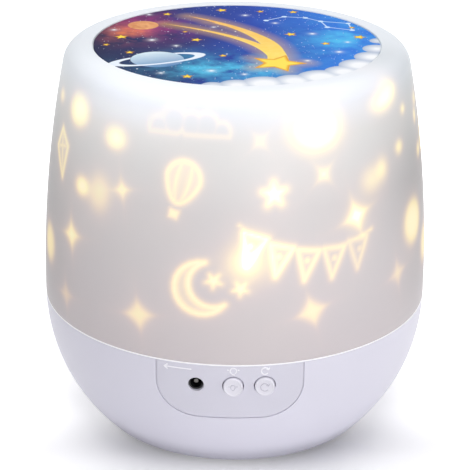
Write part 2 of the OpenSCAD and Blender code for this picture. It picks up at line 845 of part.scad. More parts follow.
module turntable() {
    color("white") difference() {
        union() {
            translate([0, 0, disc_z0]) cylinder(r = disc_r, h = disc_t);
            translate([0, 0, hub_z0]) cylinder(r = hub_r + hub_wall, h = hub_z1 - hub_z0);
            for (i = [0:hook_count - 1]) rotate(30 + i * 360 / hook_count) dome_hook();
        }
        translate([0, 0, hub_z0 - over]) cylinder(r = hub_r + hub_play, h = hub_z1 - hub_z0 + 2 * over);
    }
}

// A hemispherical shell with a short skirt and a flat flange at its foot
module dome_shell(r, wall, flange_z, flange_out, flange_h) {
    difference() {
        union() {
            translate([0, 0, dome_cz]) sphere(r);
            translate([0, 0, flange_z]) cylinder(r = r, h = dome_cz - flange_z);
            translate([0, 0, flange_z]) cylinder(r = flange_out, h = flange_h);
        }
        translate([0, 0, dome_cz]) sphere(r - wall);
        translate([0, 0, flange_z - 2 * r]) cylinder(r = r * 2, h = 2 * r);
        translate([0, 0, flange_z - over]) cylinder(r = r - wall, h = dome_cz - flange_z + over);
    }
}

module film_dome() {
    color("midnightblue") dome_shell(film_r, film_t, film_flange_z, dome_r, film_t);
}

module clear_dome() {
    color("lightcyan") dome_shell(dome_r, dome_wall, dome_flange_z, dome_flange_r, dome_flange_t);
}

// ---- light ----

module light_post() {
    color("whitesmoke") difference() {
        translate([0, 0, post_flange_z]) union() {
            cylinder(r = post_flange_r, h = post_flange_t);
            cylinder(r = post_r, h = post_z1 - post_flange_z);
        }
        translate([0, 0, post_flange_z - over]) {
            cylinder(r = post_r - post_wall, h = post_z1 - post_flange_z + 2 * over);
            for (s = [-1, 1]) translate([s * post_screw_x, 0, 0])
                cylinder(r = post_screw_r + fit_gap, h = post_flange_t + 2 * over);
        }
    }
}

module post_screws() {
    color("silver") for (s = [-1, 1]) translate([s * post_screw_x, 0, post_flange_z])
        screw_up(post_screw_r, post_flange_t + post_screw_bite);
}

module led_board() {
    color("white") translate([0, 0, post_z1]) cylinder(r = led_board_r, h = led_board_t);
}

// One white chip in the middle and four coloured ones round it
module led_chips() {
    chip_r = (lens_r - lens_wall) * 2 / 3;
    color("khaki") union() {
        translate([-1.75, -1.75, led_z]) cube([3.5, 3.5, 1]);
        for (turn = [45:90:315]) rotate(turn) translate([chip_r, 0, led_z + 0.4])
            cube([1.8, 1.8, 0.8], center = true);
    }
}

module led_lens() {
    color("lightcyan") translate([0, 0, led_z]) difference() {
        sphere(lens_r);
        sphere(lens_r - lens_wall);
        translate([0, 0, -2 * lens_r]) cylinder(r = 2 * lens_r, h = 2 * lens_r);
    }
}

// ---- leads ----

// A round lead along a list of points: a ring of corners at each point, square to the way the lead runs
module lead(path) {
    sides = 8;
    n = len(path);
    side_hint = [0.31, 0.52, -0.79];    // no lead runs this way, so the rings never flip
    function unit(v) = v / norm(v);
    points = [for (i = [0:n - 1], j = [0:sides - 1])
        let (way = unit(path[min(i + 1, n - 1)] - path[max(i - 1, 0)]),
            u = unit(cross(way, side_hint)), v = cross(way, u), a = 360 * j / sides)
        path[i] + wire_r * (cos(a) * u + sin(a) * v)];
    polyhedron(points, tube_faces(n, sides), convexity = 8);
}

// Points of a smooth curve that leaves a towards b and comes to d from c
function bend(a, b, c, d) = [for (i = [0:wire_steps]) let (t = i / wire_steps, s = 1 - t)
    s * s * s * a + 3 * s * s * t * b + 3 * s * t * t * c + t * t * t * d];

// From the motor's tabs to the control board
module motor_leads() {
    color("red") for (s = [-1, 1])
        let (start = [s * tab_x, motor_y - motor_d / 2 - tab_out / 2, tab_z + tab_t + wire_r],
            end = [(6 + s / 2) * wire_unit, board_back, board_z0 + 2 * wire_unit])
        lead(bend(start, start + wire_unit * [0, -6, 0], end + wire_unit * [0, 7, -2], end));
}

// Down inside the light post, then forward to the control board
module led_leads() {
    color("gold") for (s = [-1, 1])
        let (below = [s * led_wire_x, 0, post_flange_z - wire_unit],
            end = [s * led_wire_x - wire_unit / 2, board_back, board_z1 - wire_unit])
        lead(concat([[s * led_wire_x, 0, post_z1], [s * led_wire_x, 0, (post_z1 + below[2]) / 2]],
            bend(below, below + wire_unit * [0, 0, -5], end + wire_unit * [0, 9, -4], end)));
}

// Up through the battery well's roof, then forward to the control board
module battery_leads() {
    color("black") for (s = [-1, 1])
        let (start = [-well_wire_x, s * well_wire_y, cell_z + plate_h / 2],
            above = [-well_wire_x, s * well_wire_y, roof_z + wire_unit],
            end = [wire_unit * (0.75 * s - 7.5), board_back, board_z1 - 1.5 * wire_unit])
        lead(concat([start], bend(above, above + wire_unit * [0, 0, 6], end + wire_unit * [0, 6, -1], end)));
}

// ---- shade ----

module seam_ring() {
    color("white") ring(bowl_r_at(rim_z), body_r - bowl_wall + face_gap, rim_z, seam_ring_t);
}

// The shade's solid, pulled in by inset at the side and by top_inset at the top, open at z0
module shade_solid(inset, top_inset, z0) {
    r = shade_arc_r - inset;
    top = body_h - top_inset;
    edge = max(shoulder_r - inset, 0.5);
    edge_z = top - edge;
    edge_x = shade_cx + sqrt(pow(r - edge, 2) - pow(edge_z - seam_z, 2));
    a_low = asin((z0 - seam_z) / r);
    a_join = atan2(edge_z - seam_z, edge_x - shade_cx);
    rotate_extrude() polygon(concat(
        [[0, z0]],
        arc(shade_cx, seam_z, r, a_low, a_join, arc_steps),
        rest(arc(edge_x, edge_z, edge, a_join, 90, edge_steps)),
        [[0, top]]
    ));
}

module shade() {
    color("ghostwhite") union() {
        difference() {
            shade_solid(0, 0, seam_z);
            shade_solid(shade_wall, shade_top_inset, seam_z - over);
            translate([0, 0, body_h - print_recess])
                cylinder(r = print_d / 2 + print_gap, h = print_recess + over);
        }
        at_lugs() ring_slice(body_r - shade_wall / 2, collar_r - lug_depth, lug_z0, lug_h, lug_angle);
    }
}

module top_print() {
    color("navy") translate([0, 0, body_h - print_recess]) cylinder(r = print_d / 2, h = print_t);
}

base_shell();
control_panel();
deck();
deck_screws();
rubber_feet();
battery_door();
door_screws();
battery_cells();
contact_springs();
contact_plates();
light_button();
light_switch_plunger();
turn_button();
turn_switch_plunger();
switch_bodies();
control_board();
board_components();
board_screws();
inlet_housing();
inlet_pin();
gearbox();
motor_can();
motor_screws();
motor_shaft();
drive_pinion();
thrust_washer();
turntable();
ring_gear();
retaining_ring();
film_dome();
clear_dome();
light_post();
post_screws();
led_board();
led_chips();
led_lens();
motor_leads();
led_leads();
battery_leads();
seam_ring();
shade();
top_print();
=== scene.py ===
"""Looks of a round star night light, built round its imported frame.

The lamp has a frosted shade with soft lights on it, a printed night sky on top, a bowl base with two buttons,
and a star dome that turns inside. Settings and formulas here are in millimetres, and meshes are in metres.
+Z is up, -Y is the front, and the origin is on the table under the lamp's axis.
"""

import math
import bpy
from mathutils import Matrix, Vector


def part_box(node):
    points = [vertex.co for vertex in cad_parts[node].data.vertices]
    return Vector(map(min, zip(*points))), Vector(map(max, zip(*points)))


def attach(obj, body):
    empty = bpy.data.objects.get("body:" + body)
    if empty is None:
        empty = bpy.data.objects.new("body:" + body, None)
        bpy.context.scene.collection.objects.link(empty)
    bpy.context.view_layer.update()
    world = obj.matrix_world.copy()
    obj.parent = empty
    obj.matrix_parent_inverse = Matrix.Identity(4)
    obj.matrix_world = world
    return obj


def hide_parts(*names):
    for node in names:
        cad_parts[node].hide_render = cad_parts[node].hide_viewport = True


bl_info = {
    "name": "Star night light",
    "version": (1, 0, 0),
    "blender": (4, 5, 0),
    "location": "View3D > Sidebar > Night light",
    "description": "Dresses the frame of a round star night light",
    "category": "Add Mesh",
}

from functools import partial

import bmesh
import bpy
import mathutils
import numpy as np
from bpy.props import FloatProperty, FloatVectorProperty, IntProperty, PointerProperty

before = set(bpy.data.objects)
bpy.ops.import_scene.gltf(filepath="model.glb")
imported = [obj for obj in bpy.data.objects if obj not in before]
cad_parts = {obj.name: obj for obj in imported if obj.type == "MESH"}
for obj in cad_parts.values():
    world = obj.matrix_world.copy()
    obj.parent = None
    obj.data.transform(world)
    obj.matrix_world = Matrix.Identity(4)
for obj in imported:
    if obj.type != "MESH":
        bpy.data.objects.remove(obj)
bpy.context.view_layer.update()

MM = 0.001  # metres in a millimetre


# ---- sizes that come from the frame, in millimetres ----


def node_box(node):
    """A node's lowest and highest corner in millimetres."""
    return np.array([list(corner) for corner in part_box(node)]) / MM


(_, _, SEAM_Z), (SEAM_R, _, TOP_Z) = node_box("shade").tolist()
(_, _, PRINT_LOW), (PRINT_R, _, PRINT_TOP) = node_box("top_print").tolist()


# ---- colours and nodes ----


def linear(hex_colour):
    """An sRGB hex colour as linear red, green, blue and alpha."""
    parts = [int(hex_colour[i : i + 2], 16) / 255 for i in (0, 2, 4)]
    return [c / 12.92 if c <= 0.04045 else ((c + 0.055) / 1.055) ** 2.4 for c in parts] + [1.0]


def toned(colour, factor=1.0):
    """A linear colour made lighter or darker, with its alpha."""
    return [min(1.0, c * factor) for c in colour[:3]] + [1.0]


def fill(node, inputs):
    """Sets a node's inputs, by name or number: a socket is linked, and a hex colour is turned to linear."""
    for key, value in inputs.items():
        if isinstance(value, bpy.types.NodeSocket):
            node.id_data.links.new(value, node.inputs[key])
        else:
            node.inputs[key].default_value = linear(value) if isinstance(value, str) else value


def add_node(tree, kind, inputs=None, out=0, **settings):
    """Adds a node with its settings and its inputs, and gives one of its outputs, by name or number."""
    made = tree.nodes.new("ShaderNode" + kind)
    for key, value in settings.items():
        setattr(made, key, value)
    fill(made, inputs or {})
    return made.outputs[out]


def layered(node, base, *layers):
    """A colour with others laid over it in turn: each is how much of it shows, its colour, and how it mixes."""
    for share, colour, *blend in layers:
        kind = blend[0] if blend else "MIX"
        base = node("Mix", {0: share, 6: base, 7: colour}, 2, data_type="RGBA", blend_type=kind)
    return base


def set_stops(ramp, stops):
    """Gives a colour ramp its stops, each a position and a colour."""
    while len(ramp.elements) < len(stops):
        ramp.elements.new(0.5)
    for element, (position, colour) in zip(ramp.elements, stops):
        element.position = position
        element.color = (*colour[:3], 1)


def scaled(place, size, **inputs):
    """The inputs of a pattern whose grain is `size` mm wide."""
    return {"Vector": place, "Scale": 1 / (size * MM), **inputs}


def principled(kind, *details, name=None, **more):
    """A Principled material that is named for its kind, unless it has a name of its own. `kind` gives the shader's
    inputs, from what adds a node, the Object coordinates and the details."""
    made = bpy.data.materials.new(name or kind.__name__)
    made.use_nodes = True
    node = partial(add_node, made.node_tree)
    place = node("TexCoord", out="Object")
    fill(made.node_tree.nodes["Principled BSDF"], kind(node, place, *details, **more))
    return made


def surface(node, place, colour, roughness, grain=0.5, depth=0.01, drift=0.03, **inputs):
    """A solid finish: a colour that drifts a little over 22 mm, and a fine grain `grain` mm wide, `depth` mm deep."""
    base = linear(colour)
    wide, fine = node("TexNoise", scaled(place, 22)), node("TexNoise", scaled(place, grain, Detail=3.0))
    return {
        "Base Color": layered(node, toned(base, 1 - drift), (wide, toned(base, 1 + drift))),
        "Roughness": node("MapRange", {"Value": fine, "To Min": roughness - 0.05, "To Max": roughness + 0.05}),
        "Normal": node("Bump", {"Height": fine, "Strength": 0.6, "Distance": depth * MM}),
        **inputs,
    }


# ---- meshes ----


def rework(mesh, change):
    """Merges a mesh's doubles, drops its empty faces, and makes a change to it."""
    work = bmesh.new()
    work.from_mesh(mesh)
    bmesh.ops.remove_doubles(work, verts=work.verts, dist=1e-7)
    bmesh.ops.dissolve_degenerate(work, edges=work.edges, dist=1e-8)
    change(work)
    work.to_mesh(mesh)
    work.free()


def close_up(work):
    """Drops loose edges, and points the faces outwards."""
    bmesh.ops.delete(work, geom=[edge for edge in work.edges if edge.is_wire], context="EDGES")
    bmesh.ops.recalc_face_normals(work, faces=work.faces)


def placed(name, mesh, crease):
    """Puts a mesh into the scene, smooth, with edges sharper than `crease` degrees left sharp."""
    mesh.shade_smooth()
    mesh.set_sharp_from_angle(angle=math.radians(crease))
    made = bpy.data.objects.new(name, mesh)
    bpy.context.scene.collection.objects.link(made)
    return made


def put_mesh(name, points, faces, crease=32.0, weld=True):
    """Makes an object from points in millimetres and faces."""
    mesh = bpy.data.meshes.new(name)
    corners = faces if isinstance(faces, list) else faces.tolist()
    mesh.from_pydata((points * MM).tolist(), [], corners)
    if weld:
        rework(mesh, close_up)
    return placed(name, mesh, crease)


def grid_faces(rows, columns, wrap_rows=False, wrap_columns=False):
    """The quads of a grid of rows by columns of points."""
    i = np.arange(rows - 1 + wrap_rows)[:, None]
    j = np.arange(columns - 1 + wrap_columns)
    low, high, along = i * columns, (i + 1) % rows * columns, (j + 1) % columns
    return np.stack([low + j, high + j, high + along, low + along], -1).reshape(-1, 4)


def lathe(profile, sides, axis="z", centre=(0.0, 0.0, 0.0)):
    """A closed profile of (radius, height) turned round an axis: each point is its radius times (cos a, sin a), at
    its height. Gives points and quads."""
    angle = np.linspace(0, 2 * math.pi, sides, endpoint=False)
    r, h = profile[:, :1], profile[:, 1:]
    a, b, level = r * np.cos(angle), r * np.sin(angle), np.repeat(h, sides, axis=1)
    order = {"z": (a, b, level), "y": (a, level, b), "x": (level, a, b)}[axis]
    points = np.stack(order, -1) + np.array(centre)
    return points.reshape(-1, 3), grid_faces(len(profile), sides, True, True)


def swept(sections):
    """A bar through several sections, as an array of (section, corner, 3), with both ends closed by quads."""
    count, corners = sections.shape[:2]
    ends = np.array([[0, k, k + 1, k + 2] for k in range(1, corners - 2, 2)])
    faces = [grid_faces(count, corners, wrap_columns=True), ends, ends[:, ::-1] + (count - 1) * corners]
    return sections.reshape(-1, 3), np.concatenate(faces)


def arc(cx, cz, radius, start, end, count):
    """Points on a circle about (cx, cz) between two angles in degrees."""
    a = np.radians(np.linspace(start, end, count))
    return np.stack([cx + radius * np.cos(a), cz + radius * np.sin(a)], -1)


def line(start, end, count):
    """Evenly spaced points from start to end, both ends included."""
    return np.linspace(start, end, count)


def joined(*meshes):
    """Several (points, faces) pairs as one, where all faces have the same number of corners."""
    starts = np.cumsum([0] + [len(points) for points, _ in meshes])
    faces = [faces + start for (_, faces), start in zip(meshes, starts)]
    return np.concatenate([points for points, _ in meshes]), np.concatenate(faces)


def set_field(thing, name, values):
    """Keeps a number for each vertex as a mesh attribute."""
    made = thing.data.attributes.new(name, "FLOAT", "POINT")
    made.data.foreach_set("value", np.asarray(values, np.float32))


def numbers(items, key, width, kind=np.float32):
    """One property of every item in a list of a mesh, `width` numbers wide."""
    flat = np.empty(len(items) * width, kind)
    items.foreach_get(key, flat)
    return flat.reshape(-1, width)


def vertices_of(thing):
    """An object's vertices in millimetres."""
    return numbers(thing.data.vertices, "co", 3).astype(float) / MM


def dress(thing, material, body, slot, *nodes):
    """Gives a piece its finish and the body that it rides on, and hides the nodes that it stands for; `slot` is not
    used.
    """
    thing.data.materials.clear()
    thing.data.materials.append(material)
    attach(thing, body)
    if nodes:
        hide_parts(*nodes)


def refinish(material, *nodes):
    """Gives nodes of the frame a finish."""
    for name in nodes:
        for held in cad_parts[name].material_slots:
            held.material = material


# ---- flat shapes, as distances in millimetres that are negative inside ----


def to_segment(x, y, start, end):
    """The distance from points to a straight line between two places, and how far along it they are, from 0 to 1."""
    (ax, ay), (bx, by) = start, end
    dx, dy = bx - ax, by - ay
    along = np.clip(((x - ax) * dx + (y - ay) * dy) / max(dx * dx + dy * dy, 1e-12), 0, 1)
    return np.hypot(x - ax - along * dx, y - ay - along * dy), along


def outline_distance(x, y, corners):
    """The distance from points to a closed outline: the least distance to its sides, negative where a ray crosses an
    odd number of them."""
    corners = np.asarray(corners, float)
    nearest, inside = np.full(x.shape, np.inf), np.zeros(x.shape, bool)
    for (ax, ay), (bx, by) in zip(corners, np.roll(corners, -1, axis=0)):
        nearest = np.minimum(nearest, to_segment(x, y, (ax, ay), (bx, by))[0])
        inside ^= ((ay > y) != (by > y)) & (x < ax + (y - ay) * (bx - ax) / ((by - ay) or 1e-12))
    return np.where(inside, -nearest, nearest)


def stroke_distance(x, y, places, half_width):
    """The distance from points to an open line of a given half width."""
    sides = zip(places[:-1], places[1:])
    return np.min([to_segment(x, y, start, end)[0] for start, end in sides], axis=0) - half_width


def disc_distance(x, y, discs):
    """The distance from points to several discs, each given as its middle and radius."""
    return np.min([np.hypot(x - a, y - b) - r for a, b, r in discs], axis=0)


def spot_distance(x, y, wide, high):
    """About the distance to an oval: how far a point is from the middle as a share of the oval, less 1, times its
    smaller half width."""
    return (np.hypot(x / wide, y / high) - 1) * min(wide, high)


def glint_distance(x, y, size):
    """A four-pointed glint with hollow sides: (a^p + b^p)^(1/p) less its size, with p below 1, where a and b are the
    distances across and up, each rounded off near its axis so that the points are blunt."""
    p, blunt = 0.78, 0.08
    across, up = np.hypot(x / size, blunt), np.hypot(y / size, blunt)
    return ((across**p + up**p) ** (1 / p) - 1.12) * size * 0.5


def star_corners(outer, inner, turn=0.0):
    """A five-pointed star's outline: corners on two circles in turn."""
    k = np.arange(10)
    a, r = np.radians(turn + 90 + k * 36), np.where(k % 2 == 0, outer, inner)
    return np.stack([r * np.cos(a), r * np.sin(a)], -1)


def star_distance(x, y, size):
    """The distance to an upright star."""
    return outline_distance(x, y, star_corners(size, size * 0.48))


def turned(x, y, degrees):
    """Points turned clockwise, so that a shape drawn upright there appears turned anticlockwise."""
    a = math.radians(degrees)
    return x * math.cos(a) + y * math.sin(a), y * math.cos(a) - x * math.sin(a)


def patch(x, y, wide, high):
    """A broad soft patch: exp(-(x / wide)^2 - (y / high)^2)."""
    return np.exp(-((x / wide) ** 2) - (y / high) ** 2)


# ---- lights on the shade ----

LIGHT_R = 60.0  # the lights' widths are measured on a cylinder of this radius
REPEATS = ((0.0, 0.0), (151.0, -1.5))  # the film's pattern comes again behind: turn and lift

# Soft spots: azimuth in degrees from the front, height, half width, half height, tilt, strength, softness
SPOTS = [
    (-56.2, 114.0, 4.9, 4.0, 0, 0.72, 2.2), (-37.5, 110.2, 3.2, 2.5, 0, 0.74, 2.0),
    (-50.3, 92.1, 2.7, 2.3, 0, 0.70, 1.8), (-42.2, 92.2, 3.4, 4.4, 0, 0.42, 3.4),
    (-71.2, 66.1, 5.0, 5.6, 0, 0.50, 2.2), (-71.5, 114.4, 2.2, 1.6, 0, 0.40, 1.4),
    (25.8, 115.9, 6.6, 5.0, 0, 1.45, 3.0), (52.2, 118.9, 3.6, 2.0, 0, 0.72, 2.2),
    (57.0, 121.2, 3.6, 2.4, 0, 0.70, 2.2), (65.2, 113.7, 1.3, 1.1, 0, 0.55, 1.1),
    (76.5, 108.2, 1.7, 1.8, 0, 0.45, 1.2), (59.8, 103.3, 1.9, 1.7, 0, 0.58, 1.4),
    (77.2, 97.0, 2.2, 1.9, 0, 0.48, 1.4), (44.6, 97.2, 3.2, 3.0, 0, 0.42, 3.2), (49.7, 99.4, 2.0, 2.3, 0, 0.52, 2.4),
    (66.5, 77.2, 6.0, 6.4, 0, 0.72, 2.4),
]  # fmt: skip
GLARE = [(4.6, 77.6, 3.4, 3.2, 0, 0.86, 5.6)]  # where the light post shines straight through
# Four-pointed glints: azimuth, height, half size, tilt, strength, softness
GLINTS = [
    (-33.5, 95.4, 1.4, 12, 0.80, 1.5), (-54.2, 75.2, 3.1, 8, 0.76, 1.7), (-56.8, 54.2, 3.0, 6, 0.30, 1.7),
    (-26.5, 57.7, 4.2, 8, 0.52, 1.4), (27.5, 102.3, 1.2, 42, 0.95, 1.4), (8.2, 113.7, 0.9, 42, 0.62, 1.4),
    (38.2, 87.6, 3.1, 17, 1.20, 1.7), (55.8, 63.8, 2.9, 10, 0.42, 1.7), (23.2, 60.4, 4.1, 15, 0.58, 1.3),
]  # fmt: skip
# Five-pointed stars, in the same terms
STARS = [(12.2, 97.9, 3.6, 3, 1.22, 1.5)]
# Lights on the left side, past the end of the film's pattern; these come once
SIDE_SPOTS = [
    (-93.0, 117.0, 3.2, 2.6, 0, 0.62, 2.0), (-105.0, 99.5, 4.2, 3.8, 0, 0.66, 2.2),
    (-98.5, 60.5, 3.6, 3.2, 0, 0.50, 2.2), (-121.0, 90.0, 2.4, 3.0, 0, 0.52, 2.2),
    (-117.0, 115.0, 2.0, 1.7, 0, 0.55, 1.5), (-129.0, 67.0, 4.6, 4.2, 0, 0.56, 2.4),
]  # fmt: skip
SIDE_GLINTS = [
    (-91.0, 87.0, 3.1, 8, 0.66, 1.6), (-101.0, 112.0, 1.5, 12, 0.62, 1.4), (-113.0, 56.5, 3.7, 10, 0.46, 1.4),
    (-128.0, 102.5, 2.2, 14, 0.66, 1.5),
]  # fmt: skip
SIDE_STARS = [(-110.0, 78.0, 4.2, -8, 0.80, 1.4), (-92.0, 72.5, 2.2, 10, 0.60, 1.2)]
# The lights, how far each reaches, how the distance to it is found, and its repeats
LIGHTS = (
    (SPOTS, 22, spot_distance, REPEATS),
    (GLINTS, 15, glint_distance, REPEATS),
    (STARS, 16, star_distance, REPEATS),
    (SIDE_SPOTS, 22, spot_distance, REPEATS[:1]),
    (SIDE_GLINTS, 15, glint_distance, REPEATS[:1]),
    (SIDE_STARS, 16, star_distance, REPEATS[:1]),
)
# Broad soft patches of painted shade on the lampshade, or painted light where the amount is below zero: azimuth,
# height, reaches, amount
PATCHES = [
    (-90, 74, 27, 46, 0.38), (-72, 66, 19, 28, 0.13), (-76, 109, 14, 12, 0.13), (-42, 96, 16, 12, -0.05),
    (84, 97, 33, 25, 0.47), (84, 57, 24, 16, 0.20), (75, 68, 20, 26, 0.10), (68, 122, 15, 8, 0.12),
    (-38, 119, 25, 9, -0.24), (0, 123.5, 75, 6, -0.12), (172, 84, 50, 34, 0.08), (-74, 84, 13, 20, 0.10),
    (-70, 55, 16, 9, 0.08), (73, 96, 18, 45, 0.08), (80, 119, 9, 7, 0.10),
]  # fmt: skip


def inner_share(distance, soft):
    """1 inside a shape and 0 outside it, as 1 / (1 + e^(distance / soft))."""
    return 1 / (1 + np.exp(np.clip(distance / soft, -40, 40)))


def glow_from(distance, strength, softness):
    """Light through a shape: full inside, falling off over `softness`, with a faint wide halo."""
    halo = 0.19 * np.exp(-np.maximum(distance, 0) / 2.6)
    return strength * (inner_share(distance, softness * 0.45) + halo)


def film_window(distance, *_):
    """A window in the film: 0.5 on its outline, rising inwards and falling outwards by a third for each millimetre,
    so that it can be cut off crisply there."""
    return np.clip(0.5 - distance / 3, 0, 1)


def garland(x, y, shine):
    """Flags with a dot each, hung below a swag: a parabola."""
    swag = [(a, 4.9 + 0.011 * a * a) for a in np.linspace(-22, 22, 15)]
    glow = shine(stroke_distance(x, y, swag, 0.4), 0.5, 0.8)
    for k in range(5):
        a, power = (k - 2) * 8.4, 1.05 - 0.15 * k
        top, lean = 4.4 + 0.011 * a * a, 0.045 * a
        foot = a + lean * 1.4
        flag = [(a - 3.6, top - lean * 0.8 + 0.3), (a + 3.6, top + lean * 0.8 + 0.3), (foot, top - 9.2)]
        skin = outline_distance(x, y, flag)
        glow = np.maximum(glow, shine(np.abs(skin) - 0.5, power, 1.1)) + 0.16 * power * inner_share(skin, 0.4)
        glow = np.maximum(glow, shine(np.hypot(x - foot, y - top + 3.0) - 1.1, power * 0.8, 0.8))
    return glow


def balloon(x, y, shine):
    """A circle that draws in to a neck below, with the seams of one gore, and a basket."""
    a = np.radians(np.arange(0, 360, 15))
    across = 5.4 * np.cos(a) * (1 + 0.28 * np.minimum(np.sin(a), 0))
    skin = outline_distance(x, y, np.stack([across, np.sin(a) * np.where(np.sin(a) < 0, 7.6, 5.4)], -1))
    gore = np.abs(np.abs(x) - 2.1 * np.sqrt(np.clip(1 - (y / 7.2) ** 2, 0, 1))) - 0.2
    basket = outline_distance(x, y, [(-1.6, -9.6), (1.6, -9.6), (1.3, -12.2), (-1.3, -12.2)])
    glow = np.maximum(shine(np.abs(skin) - 0.4, 0.55, 0.9), shine(np.maximum(gore, skin), 0.4, 0.8))
    return np.maximum(glow + 0.3 * inner_share(skin, 1.0), shine(basket, 0.6, 0.8))


def kite(x, y, shine):
    """A kite's outline and its two spars."""
    skin = outline_distance(x, y, [(0, 7.2), (4.6, 1.6), (0, -8.0), (-4.6, 1.6)])
    spars = np.maximum(np.minimum(np.abs(x), np.abs(y - 1.6)) - 0.25, skin)
    glow = np.maximum(shine(np.abs(skin) - 0.45, 0.55, 1.0), shine(spars, 0.4, 0.8))
    return glow + 0.16 * inner_share(skin, 0.6)


def moon(x, y, shine):
    """A crescent, which is a large arc and a smaller one back, with two stars in it."""
    skin = outline_distance(x, y, 1.12 * np.concatenate([arc(0, 0, 7.4, 60, 300, 17), arc(3.2, 0, 6.42, 272, 88, 13)]))
    glow = shine(np.abs(skin) - 0.5, 0.72, 1.1) + 0.24 * inner_share(skin, 0.5)
    for across, up, size in ((4.2, 1.0, 2.5), (10.4, -4.4, 2.3)):
        star = outline_distance(x - across, y - up, star_corners(size, size * 0.5, 8))
        glow = np.maximum(glow, shine(star, 0.75, 1.0))
    return glow


def cloud(x, y, shine):
    """Puffs in a row, cut off flat below."""
    puffs = [(-9, -1, 3.2), (-4, 1.2, 4.0), (1.8, 0.4, 3.6), (6.6, 0.2, 3.9), (11.4, -1.2, 2.8)]
    return shine(np.abs(np.maximum(disc_distance(x, y, puffs), -y - 2.6)) - 0.4, 0.30, 1.0)


# Azimuth, height, reach, tilt and drawing
MOTIFS = (
    (21.5, 75.4, 34, -9, garland),
    (-14.0, 101.8, 22, -14, balloon),
    (-64.5, 98.8, 20, 14, kite),
    (-8.0, 69.0, 24, 24, moon),
    (-14.0, 117.5, 26, 0, cloud),
)


def window_glow(azimuth, height, shine=glow_from, extra=()):
    """How bright the film's windows and some extra spots make each point of the shade, from its azimuth and height.
    `shine` gives what each window adds, from the distance to its outline."""
    total = np.zeros(azimuth.shape)

    def near(at, z, reach, tilt, repeats=REPEATS):
        """Which points are within reach of a place, and where they are from it, for each repeat of the film."""
        for turn, lift in repeats:
            x = np.radians((azimuth - at - turn + 180) % 360 - 180) * LIGHT_R
            y = height - z - lift
            close = (np.abs(x) < reach) & (np.abs(y) < reach)
            yield close, *turned(x[close], y[close], tilt)

    for rows, reach, distance, repeats in (*LIGHTS, (extra, 22, spot_distance, REPEATS)):
        for at, z, *sizes, tilt, strength, soft in rows:
            for close, x, y in near(at, z, reach, tilt, repeats):
                total[close] += shine(distance(x, y, *sizes), strength, soft)
    for at, z, reach, tilt, draw in MOTIFS:
        for close, x, y in near(at, z, reach, tilt):
            total[close] += draw(x, y, shine)
    return total


def milkiness(azimuth, height):
    """Painted light and shade on the lampshade at each point: 1, less each patch times its amount."""
    light = np.ones(azimuth.shape)
    for at, z, wide, high, amount in PATCHES:
        light -= amount * patch((azimuth - at + 180) % 360 - 180, height - z, wide, high)
    return light


def lamp_azimuth(points):
    """Azimuth in degrees from the front, positive to the right, and distance from the axis."""
    return np.degrees(np.arctan2(points[:, 0], -points[:, 1])), np.hypot(points[:, 0], points[:, 1])


def frosted_polypropylene(node, place, settings):
    """Frosted polypropylene: milky, faintly grained by its mould, and lit from inside where the film lets light
    through. Its colour runs darker and warmer low down and lighter near the top, as painted shade and light, with a
    painted glow rising to the top and patches of painted light and shade over it."""
    height = node("SeparateXYZ", {"Vector": place}, "Z")
    milk, shoulder, rise = (
        node("MapRange", {"Value": height, "From Min": low * MM, "From Max": high * MM})
        for low, high in ((SEAM_Z, 105), (113, 123), (92, 128))
    )
    wide, fine = node("TexNoise", scaled(place, 34, Detail=1.5)), node("TexNoise", scaled(place, 0.5))
    glow = node("Attribute", out="Fac", attribute_name="window_glow")
    warm = node("ValToRGB", {"Fac": node("MapRange", {"Value": glow, "From Max": 1.4})})
    stops = [(0.0, (0, 0, 0)), (0.07, (0.055, 0.022, 0.010)), (0.2, (0.20, 0.115, 0.018))]
    stops += [(0.42, (0.42, 0.31, 0.03)), (0.7, (0.55, 0.47, 0.17)), (1.0, (0.85, 0.82, 0.60))]
    set_stops(warm.node.color_ramp, stops)
    # Painted light: a faint cool glow that rises towards the top
    wash = layered(node, [0, 0, 0, 1], (rise, [0.11, 0.145, 0.14, 1]))
    # Painted shade low down and painted light high up: low_colour at the seam, high_colour near the top, then the
    # painted patches
    return {
        "Base Color": layered(
            node,
            toned(settings.low_colour),
            (milk, toned(settings.high_colour)),
            (shoulder, toned(settings.rim_colour)),
            (1.0, layered(node, [0.965, 0.965, 0.985, 1], (wide, [1.01, 0.995, 0.985, 1])), "MULTIPLY"),
            (1.0, node("Attribute", out="Fac", attribute_name="milkiness"), "MULTIPLY"),
        ),
        "Emission Color": layered(node, warm, (1.0, wash, "ADD")),
        "Emission Strength": settings.glow,
        "Normal": node("Bump", {"Height": fine, "Strength": 0.35, "Distance": 0.02 * MM}),
        "Roughness": 0.42,
        "IOR": 1.49,
    }


